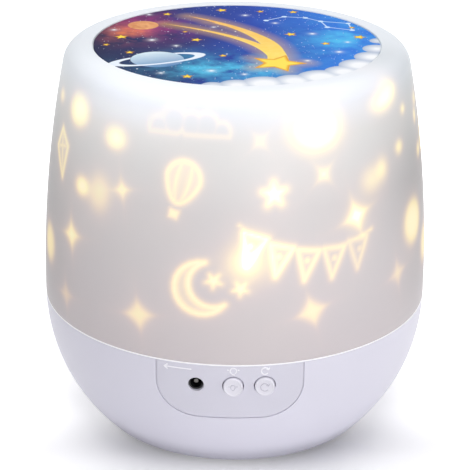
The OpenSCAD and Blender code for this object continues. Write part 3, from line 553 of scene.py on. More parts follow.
def shade_profile(settings):
    """The shade's closed section as (radius, height): up the flat outer arc, round the shoulder, into the print's
    recess, and back down inside, one wall away."""
    side_r, shoulder, wall = settings.arc_radius, settings.shoulder, settings.wall
    lip, play, inner_top = 0.3, 0.25, PRINT_LOW - wall
    centre, recess_r = SEAM_R - side_r, PRINT_R + play

    def joint(inset, top, edge):
        """Where the side's arc meets the shoulder's circle: its middle, and the angle of the joint."""
        mid_z = top - edge
        mid_r = centre + math.sqrt((side_r - inset - edge) ** 2 - (mid_z - SEAM_Z) ** 2)
        return mid_r, mid_z, math.degrees(math.atan2(mid_z - SEAM_Z, mid_r - centre))

    out_r, out_z, out_turn = joint(0, TOP_Z, shoulder)
    in_r, in_z, in_turn = joint(wall, inner_top, shoulder - wall)
    return np.concatenate([
        arc(SEAM_R - lip, SEAM_Z + lip, lip, -90, 0, 4),
        arc(centre, SEAM_Z, side_r, math.degrees(lip / side_r), out_turn, 112)[1:],
        arc(out_r, out_z, shoulder, out_turn, 90, 14)[1:],
        arc(recess_r + play, TOP_Z - play, play, 90, 180, 4),
        line((recess_r, PRINT_LOW), (0, PRINT_LOW), 3),
        line((0, inner_top), (in_r, inner_top), 3),
        arc(in_r, in_z, shoulder - wall, 90, in_turn, 6)[1:],
        arc(centre, SEAM_Z, side_r - wall, in_turn, 0.06, 8)[1:],
        [(SEAM_R - wall, SEAM_Z)],
    ])  # fmt: skip


def lug_block(azimuth, settings):
    """A locking lug in the shade's mouth: a bent bar from the wall inwards, with its section carried round 12
    degrees."""
    root, tip, low, high, edge = SEAM_R - settings.wall / 2, 58.6, 46.0, 48.0, 0.3
    r = np.array([root, root, tip + edge, tip, tip, tip + edge])
    z = np.array([low, high, high, high - edge, low + edge, low])
    turns = np.radians(azimuth + np.linspace(-6, 6, 9))[:, None]
    return swept(np.stack([np.cos(turns) * r, np.sin(turns) * r, z + 0 * turns], -1))


# ---- the printed sky ----

GOLD_STARS = [  # across, back, radius, tilt
    (-37, 5, 2.6, 10), (-24, 33, 2.0, -8), (-6, 39, 2.3, 20), (-33, -12, 1.8, 4), (-13, 3, 2.2, -14),
    (39, 9, 2.5, -18), (28, 1, 1.9, 12), (-14, -36, 2.2, 0), (7, 38, 1.6, 15), (18, 38, 2.0, 6),
    (37, 20, 1.4, 8), (-41, -4, 1.5, -20), (17, 11, 2.4, 22), (-4, -14, 1.6, 9), (-17, 12, 1.3, 30),
]  # fmt: skip
GLOWS = [  # across, back, radius
    (-27, 2, 1.1), (-19, -4, 0.8), (-30, 32, 0.8), (2, 33, 0.9), (24, 12, 1.0), (-7, -30, 1.1), (3, -33, 0.8),
    (32, -8, 1.0), (-40, 13, 0.9), (12, 24, 0.8), (-22, -33, 0.8), (22, -18, 0.9), (-8, 18, 0.7), (35, 3, 0.7),
]  # fmt: skip
CLOUD_PUFFS = [  # across, back, radius
    (1, -44, 5.5), (9, -42, 7.0), (18, -39, 6.4), (26, -35, 7.4), (33, -29, 6.2), (38, -22, 6.6),
    (42, -13, 5.6), (44, -4, 4.6), (-6, -45, 3.8), (45, 5, 3.0),
]  # fmt: skip
DIPPER = [(9, 27), (15, 32), (22, 31), (27, 27), (29, 20), (37, 17), (36, 25), (27, 27)]
COMET_STREAKS = ((0.0, 50, 3.3), (7.0, 43, 2.1), (-7.0, 40, 2.3))  # bow, reach, half width
PLANET_R = 8.2


def disc_grid(radius, count):
    """A square grid bent into a disc: a point's ring is its larger coordinate, and its angle is an eighth of a turn
    times their ratio. Gives (count, count, 2) places."""
    s, t = np.meshgrid(np.linspace(-1, 1, count), np.linspace(-1, 1, count), indexing="ij")
    wide = np.abs(s) > np.abs(t)
    ring = np.where(wide, s, t)
    share = np.where(wide, t, s) / np.where(ring == 0, 1, ring) * math.pi / 4
    angle = np.where(wide, share, math.pi / 2 - share)
    return np.stack([ring * np.cos(angle), ring * np.sin(angle)], -1) * radius


def print_disc(count):
    """The printed disc: a fine flat top, a small edge round it, and a flat underside. Gives points and faces."""
    edge = 0.12
    top = disc_grid(PRINT_R - edge, count).reshape(-1, 2)
    index = np.arange(count * count).reshape(count, count)
    rim = np.concatenate([index[0, :-1], index[:-1, -1], index[-1, :0:-1], index[:0:-1, 0]])
    round_it = PRINT_R * top[rim] / np.linalg.norm(top[rim], axis=1)[:, None]
    rings = [(top, PRINT_TOP), (round_it, PRINT_TOP - edge), (round_it, PRINT_LOW)]
    points = np.concatenate([np.column_stack([flat, np.full(len(flat), z)]) for flat, z in rings])
    middle = len(top) + np.arange(len(rim))
    foot = middle + len(rim)
    walls = [np.stack([a, np.roll(a, -1), np.roll(b, -1), b], -1) for a, b in ((rim, middle), (middle, foot))]
    return points, np.concatenate([grid_faces(count, count), *walls]).tolist() + [foot.tolist()]


def gold_distance(x, y):
    """The distance to the nearest of the sky's gold stars."""
    stars = [outline_distance(x - a, y - b, star_corners(r, r * 0.45, turn)) for a, b, r, turn in GOLD_STARS]
    return np.min(stars, axis=0)


def comet_tail(x, y):
    """Streaks that leave the comet's star and bend back to the rim, each a stroke that thins along its way."""
    nearest = np.full(x.shape, np.inf)
    t = np.linspace(0, 1, 22)
    for bow, reach, wide in COMET_STREAKS:
        path = np.stack([13 - 30 * t * t + bow * t, -19 + reach * (1.25 * t - 0.25 * t * t)], -1)
        for k in range(len(t) - 1):
            away, along = to_segment(x, y, path[k], path[k + 1])
            nearest = np.minimum(nearest, away - wide * (1 - (k + along) / (len(t) - 1)) ** 0.8)
    return nearest


def print_fields(x, y):
    """Each layer of the printed sky as a distance or strength for every point of the disc."""
    head = outline_distance(x - 13, y + 21, star_corners(9.0, 4.3, -16))
    knots = disc_distance(x, y, [(a, b, 0.9) for a, b in DIPPER])
    across, up = turned(x + 24, y + 19, 24)
    planet = np.hypot(across, up) - PLANET_R
    ring = np.abs(np.hypot(across / 14.0, up / 4.6) - 1) * 6.0 - 0.75
    return {
        "gold": gold_distance(x, y),
        "comet": np.minimum(head, comet_tail(x, y)),
        "comet_head": head,
        "cloud": disc_distance(x, y, CLOUD_PUFFS),
        "lines": np.minimum(stroke_distance(x, y, DIPPER, 0.22), knots),
        "planet": planet,
        "planet_across": up / PLANET_R,
        "planet_ring": np.where((planet < 0) & (up > 0), 1.0, ring),
        "moonlet": np.hypot(x + 31, y - 19) - 5.0,
        "sparkle": np.sum([np.exp(-np.hypot(x - a, y - b) / (0.6 * r)) for a, b, r in GLOWS], axis=0),
        "cyan": patch(x + 4, y + 27, 20, 13) + 0.8 * patch(x - 33, y - 8, 12, 20),
        "rose": 0.9 * patch(x + 30, y - 17, 13, 15),
        "amber": 0.8 * patch(x + 35, y - 10, 7, 9),
    }


def silk_coated_print(node, place):
    """Offset-printed film under a silk coat: a deep sky that runs from navy to royal blue, clouds of gas, and flat
    motifs with crisp edges. A distance below zero is inside a motif."""
    drift, gas, glitter, grain = (
        node("TexNoise", scaled(place, size, Detail=detail, Roughness=rough))
        for size, detail, rough in ((30, 4.0, 0.55), (11, 6.0, 0.62), (2.2, 4.0, 0.55), (0.35, 2.0, 0.55))
    )
    bands = node("TexNoise", {"Vector": place, "Scale": 260.0, "Detail": 3.0, "Distortion": 1.2})
    names = "cyan rose amber sparkle lines comet comet_head gold planet planet_across planet_ring moonlet cloud"
    field = {name: node("Attribute", out="Fac", attribute_name=name) for name in names.split()}
    split = node("SeparateXYZ", {"Vector": place}).node.outputs
    depth = node("Math", {0: drift, 1: 0.030, 2: split["X"]}, operation="MULTIPLY_ADD")
    colour = node("ValToRGB", {"Fac": node("MapRange", {"Value": depth, "From Min": -0.034, "From Max": 0.048})})
    sky = ((0.0, "05081E"), (0.32, "0D1A5A"), (0.66, "1741A8"), (1.0, "2A78DC"))
    set_stops(colour.node.color_ramp, [(position, linear(tone)) for position, tone in sky])
    wisps = node("MapRange", {"Value": gas, "From Min": 0.36, "From Max": 0.68})
    for name, tone in (("cyan", "5AD4F8"), ("rose", "B02C86"), ("amber", "F28A3C")):
        colour = layered(node, colour, (node("Math", {0: field[name], 1: wisps}, operation="MULTIPLY"), tone))
    for size, cut in ((1.5, 0.10), (2.6, 0.085), (5.2, 0.075)):
        dust = node("TexVoronoi", scaled(place, size))
        dot = node("MapRange", {"Value": dust, "From Min": cut, "From Max": cut * 0.6})
        colour = layered(node, colour, (dot, "E9F1FF"))
    fade, lit, puff, glitters, stripes = (
        node("MapRange", {"Value": value, "From Min": low, "From Max": high, "To Max": most})
        for value, low, high, most in (
            (split["Y"], -0.012, 0.030, 1.0),
            (field["planet_across"], -1.0, 0.9, 1.0),
            (field["cloud"], 0.0, -4.2, 1.0),
            (glitter, 0.0, 1.0, 0.5),
            (bands, 0.0, 1.0, 0.5),
        )
    )
    gold = layered(node, "FFD84A", (fade, "F2A23A"), (glitters, "FFF2B0"))
    globe = layered(node, "2F66A8", (lit, "E8F4FB"), (stripes, "8FC3E0"))
    # Motifs from the lowest up: field, where the edge starts and ends, how much shows inside, colour
    for name, start, end, most, tone in (
        ("sparkle", 0.0, 1 / 1.5, 1.0, "F4F8FF"),
        ("lines", 0.12, -0.12, 1.0, "CFE6FF"),
        ("comet", 5.0, 0.0, 0.35, "F0C060"),
        ("comet", 0.10, -0.10, 1.0, gold),
        ("comet_head", 0.10, -0.10, 1.0, "E59A22"),
        ("comet_head", -0.20, -1.20, 1.0, "FFE25A"),
        ("gold", 0.08, -0.08, 1.0, "B97B14"),
        ("gold", -0.12, -0.36, 1.0, "FFDE4E"),
        ("planet", 0.10, -0.10, 1.0, globe),
        ("planet_ring", 0.10, -0.10, 1.0, "EAF3FF"),
        ("moonlet", 0.10, -0.10, 1.0, layered(node, "B8562B", (bands, "FFC98A"))),
        ("cloud", 0.10, -0.10, 1.0, layered(node, "AEBBD2", (puff, "F7F9FD"))),
    ):
        inside = node("MapRange", {"Value": field[name], "From Min": start, "From Max": end, "To Max": most})
        colour = layered(node, colour, (inside, tone))
    bump = node("Bump", {"Height": grain, "Strength": 0.12, "Distance": 0.01 * MM})
    return {"Base Color": colour, "Normal": bump, "Roughness": 0.45, "IOR": 1.5, "Specular IOR Level": 0.04}


# ---- the bowl ----

BOWL_ARC, BOWL_WALL, BOWL_EDGE, BOWL_FLOOR = 60.0, 2.2, 3.0, 1.5
BOWL_MID = SEAM_R - BOWL_ARC
BOWL_SOFT = 0.24  # rounding of the edges round the panel, its buttons and its inlet
ON_SURFACE = 0.03  # a point this near to a surface lies on it


def bowl_radius(height):
    """The bowl's radius at a height."""
    return BOWL_MID + np.sqrt(BOWL_ARC**2 - (SEAM_Z - height) ** 2)


def on_outer_rim(edge):
    """True for a sharp edge between the bowl's outer surface and the wall of a cut in it."""
    if len(edge.link_faces) != 2 or edge.calc_face_angle(0) < math.radians(50):
        return False
    for vertex in edge.verts:
        x, y, z = vertex.co / MM
        if not 20 < z < SEAM_Z - 0.8 or y > 0 or abs(x) > 27:
            return False
        if abs(math.hypot(x, y) - float(bowl_radius(z))) > ON_SURFACE:
            return False
    return True


def soften_rims(work):
    """Rounds the rims of the cuts in the bowl's outer surface."""
    rim = [edge for edge in work.edges if on_outer_rim(edge)]
    bmesh.ops.bevel(
        work, geom=rim, offset=BOWL_SOFT * MM, segments=2, profile=0.5, affect="EDGES", clamp_overlap=True
    )


def smoothed_copy(node, name):
    """A merged copy of a node, whose bowl surfaces get the true normals of their arcs: each points from the arc's
    middle, in the plane through the axis."""
    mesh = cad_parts[node].data.copy()
    mesh.name = name
    rework(mesh, soften_rims)
    if "custom_normal" in mesh.attributes:
        mesh.attributes.remove(mesh.attributes["custom_normal"])
    made = placed(name, mesh, 28)
    normals = numbers(mesh.corner_normals, "vector", 3)
    sizes = numbers(mesh.polygons, "loop_total", 1, np.int32)[:, 0]
    face = np.repeat(np.arange(len(sizes)), sizes)
    flat = numbers(mesh.polygons, "normal", 3)[face]
    place = vertices_of(made)[numbers(mesh.loops, "vertex_index", 1, np.int32)[:, 0]]
    radius = np.hypot(place[:, 0], place[:, 1])
    way = place[:, :2] / np.maximum(radius, 1e-6)[:, None]
    edge_z = BOWL_FLOOR + BOWL_EDGE
    edge_r = BOWL_MID + math.sqrt((BOWL_ARC - BOWL_EDGE) ** 2 - (SEAM_Z - edge_z) ** 2)
    for mid_r, mid_z, reach in (
        (BOWL_MID, SEAM_Z, BOWL_ARC),
        (BOWL_MID, SEAM_Z, BOWL_ARC - BOWL_WALL),
        (edge_r, edge_z, BOWL_EDGE),
    ):
        off_r, off_z = radius - mid_r, place[:, 2] - mid_z
        on = (np.abs(np.hypot(off_r, off_z) - reach) < ON_SURFACE) & (off_z <= 0.01) & (off_r > 0)
        share = np.bincount(face, weights=on, minlength=len(sizes)) / sizes
        true = np.concatenate([way * (off_r / reach)[:, None], (off_z / reach)[:, None]], 1)
        side = np.sum(true * flat, 1)
        use = (share[face] > 0.99) & (np.abs(side) > 0.93)
        normals[use] = (true * np.sign(side)[:, None])[use]
    mesh.normals_split_custom_set(normals.tolist())
    return made


# ---- raised marks ----


def side_ways(path):
    """The unit directions along a flat path of points, and across it to the left."""
    way = np.gradient(path, axis=0)
    way /= np.linalg.norm(way, axis=1)[:, None]
    return way, np.stack([-way[:, 1], way[:, 0]], -1)


def ribbon(path, half_width, rise, sink=0.12):
    """A low rounded bar along a flat path: its section is a half circle squashed to `rise`, with a foot `sink` deep,
    and it closes to a point at both ends. Gives (across, up, out) points and quads."""
    way, side = side_ways(path)
    a = np.radians([0, 45, 90, 135, 180])
    offset = np.concatenate([np.cos(a) * half_width, [-half_width, half_width]])
    height = np.concatenate([np.sin(a) * rise, [-sink, -sink]])
    spots = path[:, None] + side[:, None] * offset[:, None]
    rows = np.concatenate([spots, np.broadcast_to(height[:, None], (*spots.shape[:2], 1))], -1)
    tips = (path[0] - way[0] * half_width * 0.6, path[-1] + way[-1] * half_width * 0.6)
    first, last = (np.broadcast_to(np.append(tip, -sink), rows[:1].shape) for tip in tips)
    rows = np.concatenate([first, rows, last])
    return rows.reshape(-1, 3), grid_faces(len(rows), rows.shape[1], wrap_columns=True)


def bulb_mark(size):
    """A light bulb with a ray at each side, about a middle."""
    rays = [
        line((0.60 * math.cos(a), 0.12 + 0.60 * math.sin(a)), (0.80 * math.cos(a), 0.12 + 0.80 * math.sin(a)), 3)
        for a in np.radians([10, 170])
    ]
    return [part * size for part in (arc(0, 0.12, 0.42, -58, 238, 20), line((-0.2, -0.44), (0.2, -0.44), 3), *rays)]


def turn_mark(size):
    """A turning arrow: most of a circle with a two-stroke head."""
    tip = arc(0, 0, 0.62, 20, 20, 1)[0]
    head = [line(tip + (-0.36, 0.12), tip, 3), line(tip, tip + (0.14, 0.36), 3)[1:]]
    return [arc(0, 0, 0.62, 20, 320, 24) * size, np.concatenate(head) * size]


def marks(paths, half_width, rise, at=(0.0, 0.0)):
    """Ribbons for several paths, moved to a place."""
    return joined(*[ribbon(path + np.array(at), half_width, rise) for path in paths])


def panel_seam(places, depth=0.65, wide=0.37, high=0.9):
    """The strip in the groove round the panel: a rectangular section carried down one side of the panel's outline,
    round both lower corners and up the other side, `depth` mm below the bowl's surface. The panel's half width is
    that of its vertices on the bowl's surface. Gives points and faces."""
    on_skin = np.abs(np.hypot(places[:, 0], places[:, 1]) - bowl_radius(places[:, 2])) < ON_SURFACE
    half_w, corner, level, gap = float(places[on_skin, 0].max()), 12.2, 37.2, 0.175
    side, mid_x, reach, top = half_w + gap, half_w - corner, corner + gap, SEAM_Z - 0.1
    path = np.concatenate([
        line((-side, top), (-side, level), 9)[:-1],
        arc(-mid_x, level, reach, 180, 270, 30),
        line((-mid_x, level - reach), (mid_x, level - reach), 24)[1:-1],
        arc(mid_x, level, reach, 270, 360, 30),
        line((side, level), (side, top), 9)[1:],
    ])  # fmt: skip
    across = side_ways(path)[1] * wide / 2
    skin = -np.sqrt(bowl_radius(path[:, 1]) ** 2 - path[:, 0] ** 2)
    rows = []
    for sign, inwards in ((1, depth), (-1, depth), (-1, depth + high), (1, depth + high)):
        x, z = (path + across * sign).T
        rows.append(np.stack([x, skin + inwards, z], -1))
    return swept(np.stack(rows, 1))


def on_bowl(points):
    """Wraps (across, up, out) points onto the bowl's front: y follows the bowl at that height and width, and `out`
    goes along its normal."""
    x, z, out = points.T
    r = bowl_radius(z)
    y = -np.sqrt(r * r - x * x)
    steep = (r - BOWL_MID) / BOWL_ARC
    normal = np.stack([x / r * steep, y / r * steep, (z - SEAM_Z) / BOWL_ARC], -1)
    return np.stack([x, y, z], -1) + normal * out[:, None]


BUTTON_DISH = 0.14  # how far a button's face is dished


def button_profile(node, edge):
    """A button's closed section as (radius, y), with its node's steps: a cap with a rounded face edge, a flange
    behind the panel, and a stem. Also gives its middle."""
    places = vertices_of(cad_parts[node])
    middle = (places.min(0) + places.max(0)) / 2
    away = np.hypot(places[:, 0] - middle[0], places[:, 2] - middle[2])
    face, back, flange_r = places[:, 1].min(), places[:, 1].max(), away.max()
    step = places[away > flange_r - 0.05, 1]
    front, behind = step.min(), step.max()
    cap_r, stem_r, soft = flange_r - 0.9, 1.7, 0.12
    dish = [(0.0, face + BUTTON_DISH), (cap_r * 0.7, face + BUTTON_DISH), (cap_r * 0.78, face + 0.1)]
    dish += [(cap_r - edge, face + 0.01)]
    steps = [(cap_r, front), (flange_r - soft, front), (flange_r, front + soft), (flange_r, behind - soft)]
    steps += [(flange_r - soft, behind), (stem_r, behind), (stem_r, back - 0.15), (stem_r - 0.15, back), (0.0, back)]
    return np.concatenate([dish, arc(cap_r - edge, face + edge, edge, -90, 0, 8), steps]), middle


def cell_profile(length, r):
    """A cell's closed section as (radius, along): flat end, crimped rim, straight sleeve, shoulder and nub."""
    top = length - 1.0
    return np.array([
        (0, 0.2), (r - 1.6, 0.2), (r - 1.35, 0.0), (r - 0.55, 0.0), (r - 0.15, 0.18), (r, 0.6), (r, top - 0.6),
        (r - 0.15, top - 0.18), (r - 0.5, top), (r - 0.9, top), (r - 1.15, top - 0.25), (2.5, top - 0.25),
        (2.1, top - 0.05), (1.9, top + 0.15), (1.88, length - 0.25), (1.65, length), (0, length),
    ])  # fmt: skip


def dome_profile(node, wall, foot, outer_steps, inner_steps):
    """A dome's closed section: its flange, up the outer quarter circle to the crown, and back down one wall inside."""
    (_, _, base), (flange_r, _, crown) = node_box(node).tolist()
    middle, soft = node_box("clear_dome")[0, 2] + 1.4, 0.1
    radius, flange_top = crown - middle, base + foot
    return np.concatenate([
        [(flange_r - soft, base), (flange_r, base + soft), (flange_r, flange_top - soft)],
        [(flange_r - soft, flange_top), (radius, flange_top)],
        arc(0, middle, radius, 0.2, 90, outer_steps),
        arc(0, middle, radius - wall, 90, 0.2, inner_steps),
        [(radius - wall, base)],
    ])  # fmt: skip


# ---- finishes of the base and what it holds ----


def satin_moulded_abs(node, place, settings, shade=1.0):
    """ABS moulded in a spark-eroded tool: a cool white satin, with a grain so fine that it only softens the gloss, a
    faint drift of tone, and a darker foot, which is painted shade near the floor."""
    colour = toned(settings.shell_colour, shade)
    wide, fine = node("TexNoise", scaled(place, 26)), node("TexNoise", scaled(place, 0.45, Detail=3.0))
    # Painted shade: 0.77 times as light below 3 mm, clearing by 11.5 mm
    foot = {"Value": node("SeparateXYZ", {"Vector": place}, "Z"), "From Min": 3 * MM, "From Max": 11.5 * MM}
    clean = node("MapRange", foot, interpolation_type="SMOOTHSTEP")
    tone = layered(node, toned(colour, 0.975), (wide, toned(colour, 1.02)))
    return {
        "Base Color": layered(node, tone, (1.0, [0.77, 0.77, 0.78, 1.0], "MULTIPLY"), (clean, tone)),
        "Roughness": node("MapRange", {"Value": fine, "To Min": 0.36, "To Max": 0.46}),
        "Normal": node("Bump", {"Height": fine, "Strength": 0.3, "Distance": 0.006 * MM}),
        "IOR": 1.52,
    }


def moulded_nylon(node, place, low, high):
    """Moulded nylon: a smooth, slightly waxy white in the bowl's tone, with a painted highlight along its upper edge,
    in a lighter colour and a faint glow.
    """
    # Painted highlight: the upper part of the ring gets a lighter colour and a faint glow
    start, end = (MM * (low + share * (high - low)) for share in (0.34, 0.54))
    rise = {"Value": node("SeparateXYZ", {"Vector": place}, "Z"), "From Min": start, "From Max": end}
    edge = node("MapRange", rise, interpolation_type="SMOOTHSTEP")
    return {
        "Base Color": layered(node, "DDDBE7", (edge, "F7F7FB")),
        "Emission Color": layered(node, "000000", (edge, [1.0, 0.98, 1.0, 1.0])),
        "Emission Strength": 0.14,
        "Roughness": 0.4,
        "IOR": 1.53,
    }


def clear_polystyrene(node, place):
    """Moulded polystyrene, water clear with a sharp gloss and a trace of haze from its mould."""
    haze = node("TexNoise", scaled(place, 9, Detail=3.0))
    rough = node("MapRange", {"Value": haze, "To Min": 0.03, "To Max": 0.09})
    return {"Base Color": "F4F8FA", "Roughness": rough, "IOR": 1.57, "Transmission Weight": 0.97}


def printed_polyester_film(node, place):
    """Polyester film printed with dense midnight-blue ink, glossy, with windows in the ink that the light comes
    through."""
    glow = node("Attribute", out="Fac", attribute_name="window_glow")
    window = node("MapRange", {"Value": glow, "From Min": 0.46, "From Max": 0.54})
    haze, fine = node("TexNoise", scaled(place, 14, Detail=4.0)), node("TexNoise", scaled(place, 1.5))
    return {
        "Base Color": layered(node, "0F1858", (haze, "23379C"), (window, "FFF3CF")),
        "Emission Color": layered(node, "000000", (window, "FFD98A")),
        "Emission Strength": 0.8,
        "Normal": node("Bump", {"Height": fine, "Strength": 0.2, "Distance": 0.01 * MM}),
        "Roughness": 0.3,
        "IOR": 1.6,
        "Specular IOR Level": 0.25,
    }


def sleeved_cell(node, place):
    """A cell: a glossy printed sleeve in dark grey with a copper band, and bright nickel-plated ends."""
    along = node("Math", {0: node("SeparateXYZ", {"Vector": place}, "X")}, operation="ABSOLUTE")
    band, metal = (
        node("MapRange", {"Value": along, "From Min": start * MM, "From Max": end * MM})
        for start, end in ((12.5, 12.7), (19.2, 19.3))
    )
    scuff = node("TexNoise", scaled(place, 3, Detail=4.0))
    bright = layered(node, "B4B4B2", (scuff, "D2D2CF"))
    return {
        "Base Color": layered(node, "2B2E36", (band, "A8622E"), (metal, bright)),
        "Metallic": metal,
        "Roughness": node("MapRange", {"Value": scuff, "To Min": 0.2, "To Max": 0.36}),
    }


def solder_masked_board(node, place):
    """Epoxy board under green solder mask: a semi-gloss skin, with copper tracks that show as paler lines about 1 mm
    apart, and tinned pads."""
    upright = node("Mapping", {"Vector": place, "Rotation": (math.pi / 2, 0, 0)})
    tracks = node("TexBrick", scaled(upright, 9, **{"Mortar Size": 0.02, "Row Height": 0.12}), "Fac")
    pads = node("TexVoronoi", scaled(place, 2.6), distance="CHEBYCHEV")
    pad = node("MapRange", {"Value": pads, "From Min": 0.14, "From Max": 0.12})
    return {
        "Base Color": layered(node, "1F5E36", (tracks, "3A8253"), (pad, "B9BBB6")),
        "Metallic": node("Math", {0: pad, 1: 0.9}, operation="MULTIPLY"),
        "Normal": node("Bump", {"Height": tracks, "Strength": 0.5, "Distance": 0.05 * MM}),
        "Roughness": 0.35,
        "IOR": 1.55,
    }


def satin_abs_button(node, place):
    """ABS: the shell's satin white, with a smoother face from handling, and its raised marks made grey, as painted
    shade of their relief.
    """
    inputs = surface(node, place, "E2E0EA", 0.38, depth=0.006, drift=0.015, IOR=1.52)
    # Painted shade: the raised marks are coloured grey
    mark = node("Attribute", out="Fac", attribute_name="mark")
    return {**inputs, "Base Color": layered(node, inputs["Base Color"], (mark, "BFBDCA"))}


# Name, colour, roughness, grain in mm, its depth in mm, other inputs, and nodes. Each name says what the real
# piece is made of and how its surface came about, or that its colour holds painted shade; the comment says what that
# gives the eye.
METAL, PHOSPHOR_LIGHT = {"Metallic": 1.0}, (1.0, 0.85, 0.5, 1.0)
FINISHES = [
    # plain white, a little more open in its grain than the outside
    ("moulded_abs_inner", "E4E4E6", 0.5, 0.6, 0.012, {"IOR": 1.52}, "deck turntable light_post"),
    # soft, dull and faintly dusty
    ("moulded_rubber_foot", "C9C9CE", 0.85, 0.35, 0.03, {"IOR": 1.52}, "rubber_feet"),
    # bluish bright metal, with the mottle of a plated skin
    ("zinc_plated_steel", "C3C6CC", 0.34, 0.4, 0.01, METAL, "deck_screws door_screws board_screws motor_screws"
     " post_screws"),
    # smooth, warm bright metal
    ("nickel_plated_steel", "CFCCC6", 0.24, 0.5, 0.006, METAL, "contact_springs contact_plates retaining_ring"),
    # nickel made darker and duller, the darkness as painted shade for the pin deep in its socket
    ("worn_nickel_pin", "6E6C6A", 0.45, 0.3, 0.008, METAL, "inlet_pin"),
    # drawn metal with faint lines
    ("drawn_steel", "BEBFC2", 0.32, 0.3, 0.012, METAL, "motor_can motor_shaft"),
    # near black, with a dull sheen on its edges
    ("moulded_black_nylon", "17171A", 0.42, 0.4, 0.01, {"IOR": 1.53}, "inlet_housing board_components"
     " light_switch_plunger turn_switch_plunger"),
    # dark grey phenolic, flat and dry
    ("moulded_phenolic", "5C5D61", 0.55, 0.4, 0.012, {"IOR": 1.55}, "switch_bodies"),
    # mid grey engineering plastic with a fine grain
    ("moulded_acetal_housing", "9C9DA1", 0.45, 0.5, 0.015, {"IOR": 1.48}, "gearbox"),
    # off-white and waxy
    ("natural_nylon", "EBE8DC", 0.4, 0.5, 0.01, {"IOR": 1.53}, "drive_pinion ring_gear"),
    # brown and fibrous
    ("pressed_fibre", "BFA06E", 0.7, 0.25, 0.03, {"IOR": 1.5}, "thrust_washer"),
    # flat white mask
    ("white_solder_mask", "EDEDEA", 0.4, 0.5, 0.006, {"IOR": 1.55}, "led_board"),
    # a soft yellow that looks lit
    ("phosphor_chip", "F2DC6E", 0.5, 0.25, 0.01,
     {"IOR": 1.45, "Emission Color": PHOSPHOR_LIGHT, "Emission Strength": 0.6}, "led_chips"),
    # water clear and sharply glossy
    ("clear_acrylic_lens", "F6FAFC", 0.08, 2.0, 0.002, {"IOR": 1.49, "Transmission Weight": 0.95}, "led_lens"),
    # soft skins with a slight gloss
    ("extruded_pvc_red", "B52A26", 0.4, 0.5, 0.008, {"IOR": 1.53}, "motor_leads"),
    ("extruded_pvc_yellow", "D9B22C", 0.4, 0.5, 0.008, {"IOR": 1.53}, "led_leads"),
    ("extruded_pvc_black", "1B1B1D", 0.4, 0.5, 0.008, {"IOR": 1.53}, "battery_leads"),
]  # fmt: skip


# ---- the stage's finishes ----


def seen_directly(node):
    """1 for a ray from the camera or off a glossy or clear surface, and 0 for one that only carries light."""
    rays = node("LightPath").node.outputs
    seen = node("Math", {0: rays["Is Camera Ray"], 1: rays["Is Glossy Ray"]}, operation="MAXIMUM")
    return node("Math", {0: seen, 1: rays["Is Transmission Ray"]}, operation="MAXIMUM")


def matt_white_board(node, place, full):
    """Matt white board: it keeps soft shadows, and shows as white where nothing shades it. `full` is the lift."""
    # More lift away from the lamp, behind it and right before it, where its shadow would look too heavy
    shifted = node("VectorMath", {0: place, 1: (-0.010, 0.0, 0.0)})
    away = node("VectorMath", {0: shifted}, "Value", operation="LENGTH")
    split = node("SeparateXYZ", {"Vector": place}).node.outputs
    back = node("Math", {0: split["X"], 1: -0.06, 2: split["Y"]}, operation="MULTIPLY_ADD")
    aside = node("Math", {0: split["X"]}, operation="ABSOLUTE")
    rise = {"Value": back, "From Min": -0.036, "From Max": -0.006}
    middle = {"Value": aside, "From Max": 0.036, "To Min": full * 0.57, "To Max": 0.0}
    behind, before = (node("MapRange", edges, interpolation_type="SMOOTHSTEP") for edges in (rise, middle))
    lift = node("Mix", {0: behind, 2: before, 3: full * 1.33})
    around = {"Value": away, "From Min": 0.04, "From Max": 0.10, "To Min": full * 0.15, "To Max": full * 1.1}
    far = {"Value": away, "From Min": 0.15, "From Max": 1.2, "To Max": 0.62}
    for more in (around, far):
        lift = node("Math", {0: lift, 1: node("MapRange", more)}, operation="ADD")
    return {
        "Base Color": layered(node, "F2F2F4", (node("TexNoise", scaled(place, 2.5)), "F6F6F8")),
        "Emission Color": (1, 1, 1, 1),
        "Emission Strength": node("Math", {0: seen_directly(node), 1: lift}, operation="MULTIPLY"),
        "Roughness": 0.9,
        "Specular IOR Level": 0.1,
    }


# ---- settings ----


class NightLightShade(bpy.types.PropertyGroup):
    """The frosted shade."""

    arc_radius: FloatProperty(name="Side radius", description="Radius of its side in profile, in mm", default=400.0)
    shoulder: FloatProperty(name="Shoulder", description="Rounding of its top edge, in mm", default=6.0)
    wall: FloatProperty(name="Wall", description="Thickness of its wall, in mm", default=1.8)
    sides: IntProperty(name="Sides", description="Steps round it", default=620, min=48)
    print_grid: IntProperty(name="Print steps", description="Steps across the printed disc", default=300, min=40)
    glow: FloatProperty(name="Glow", description="Strength of the light through it", default=1.0, min=0.0)
    # low_colour and high_colour run up the lampshade as painted shade low down and painted light high up
    low_colour: FloatVectorProperty(
        name="Low colour", description="Colour near the seam", subtype="COLOR", default=linear("D0C8CA")[:3]
    )
    high_colour: FloatVectorProperty(
        name="High colour", description="Colour near the top", subtype="COLOR", default=linear("DCD9D8")[:3]
    )
    rim_colour: FloatVectorProperty(
        name="Rim colour", description="Colour of its top edge", subtype="COLOR", default=linear("DBDCE4")[:3]
    )


class NightLightBase(bpy.types.PropertyGroup):
    """The bowl base with its panel and buttons."""

    shell_colour: FloatVectorProperty(
        name="Shell", description="Colour of bowl and panel", subtype="COLOR", default=linear("DFDDEA")[:3]
    )
    edge: FloatProperty(name="Button edge", description="Rounding of a button's face edge, in mm", default=0.45)
    mark_rise: FloatProperty(name="Mark rise", description="How far the marks stand up, in mm", default=0.12)
    cells: IntProperty(name="Cells", description="Number of cells in the well", default=4, min=1)


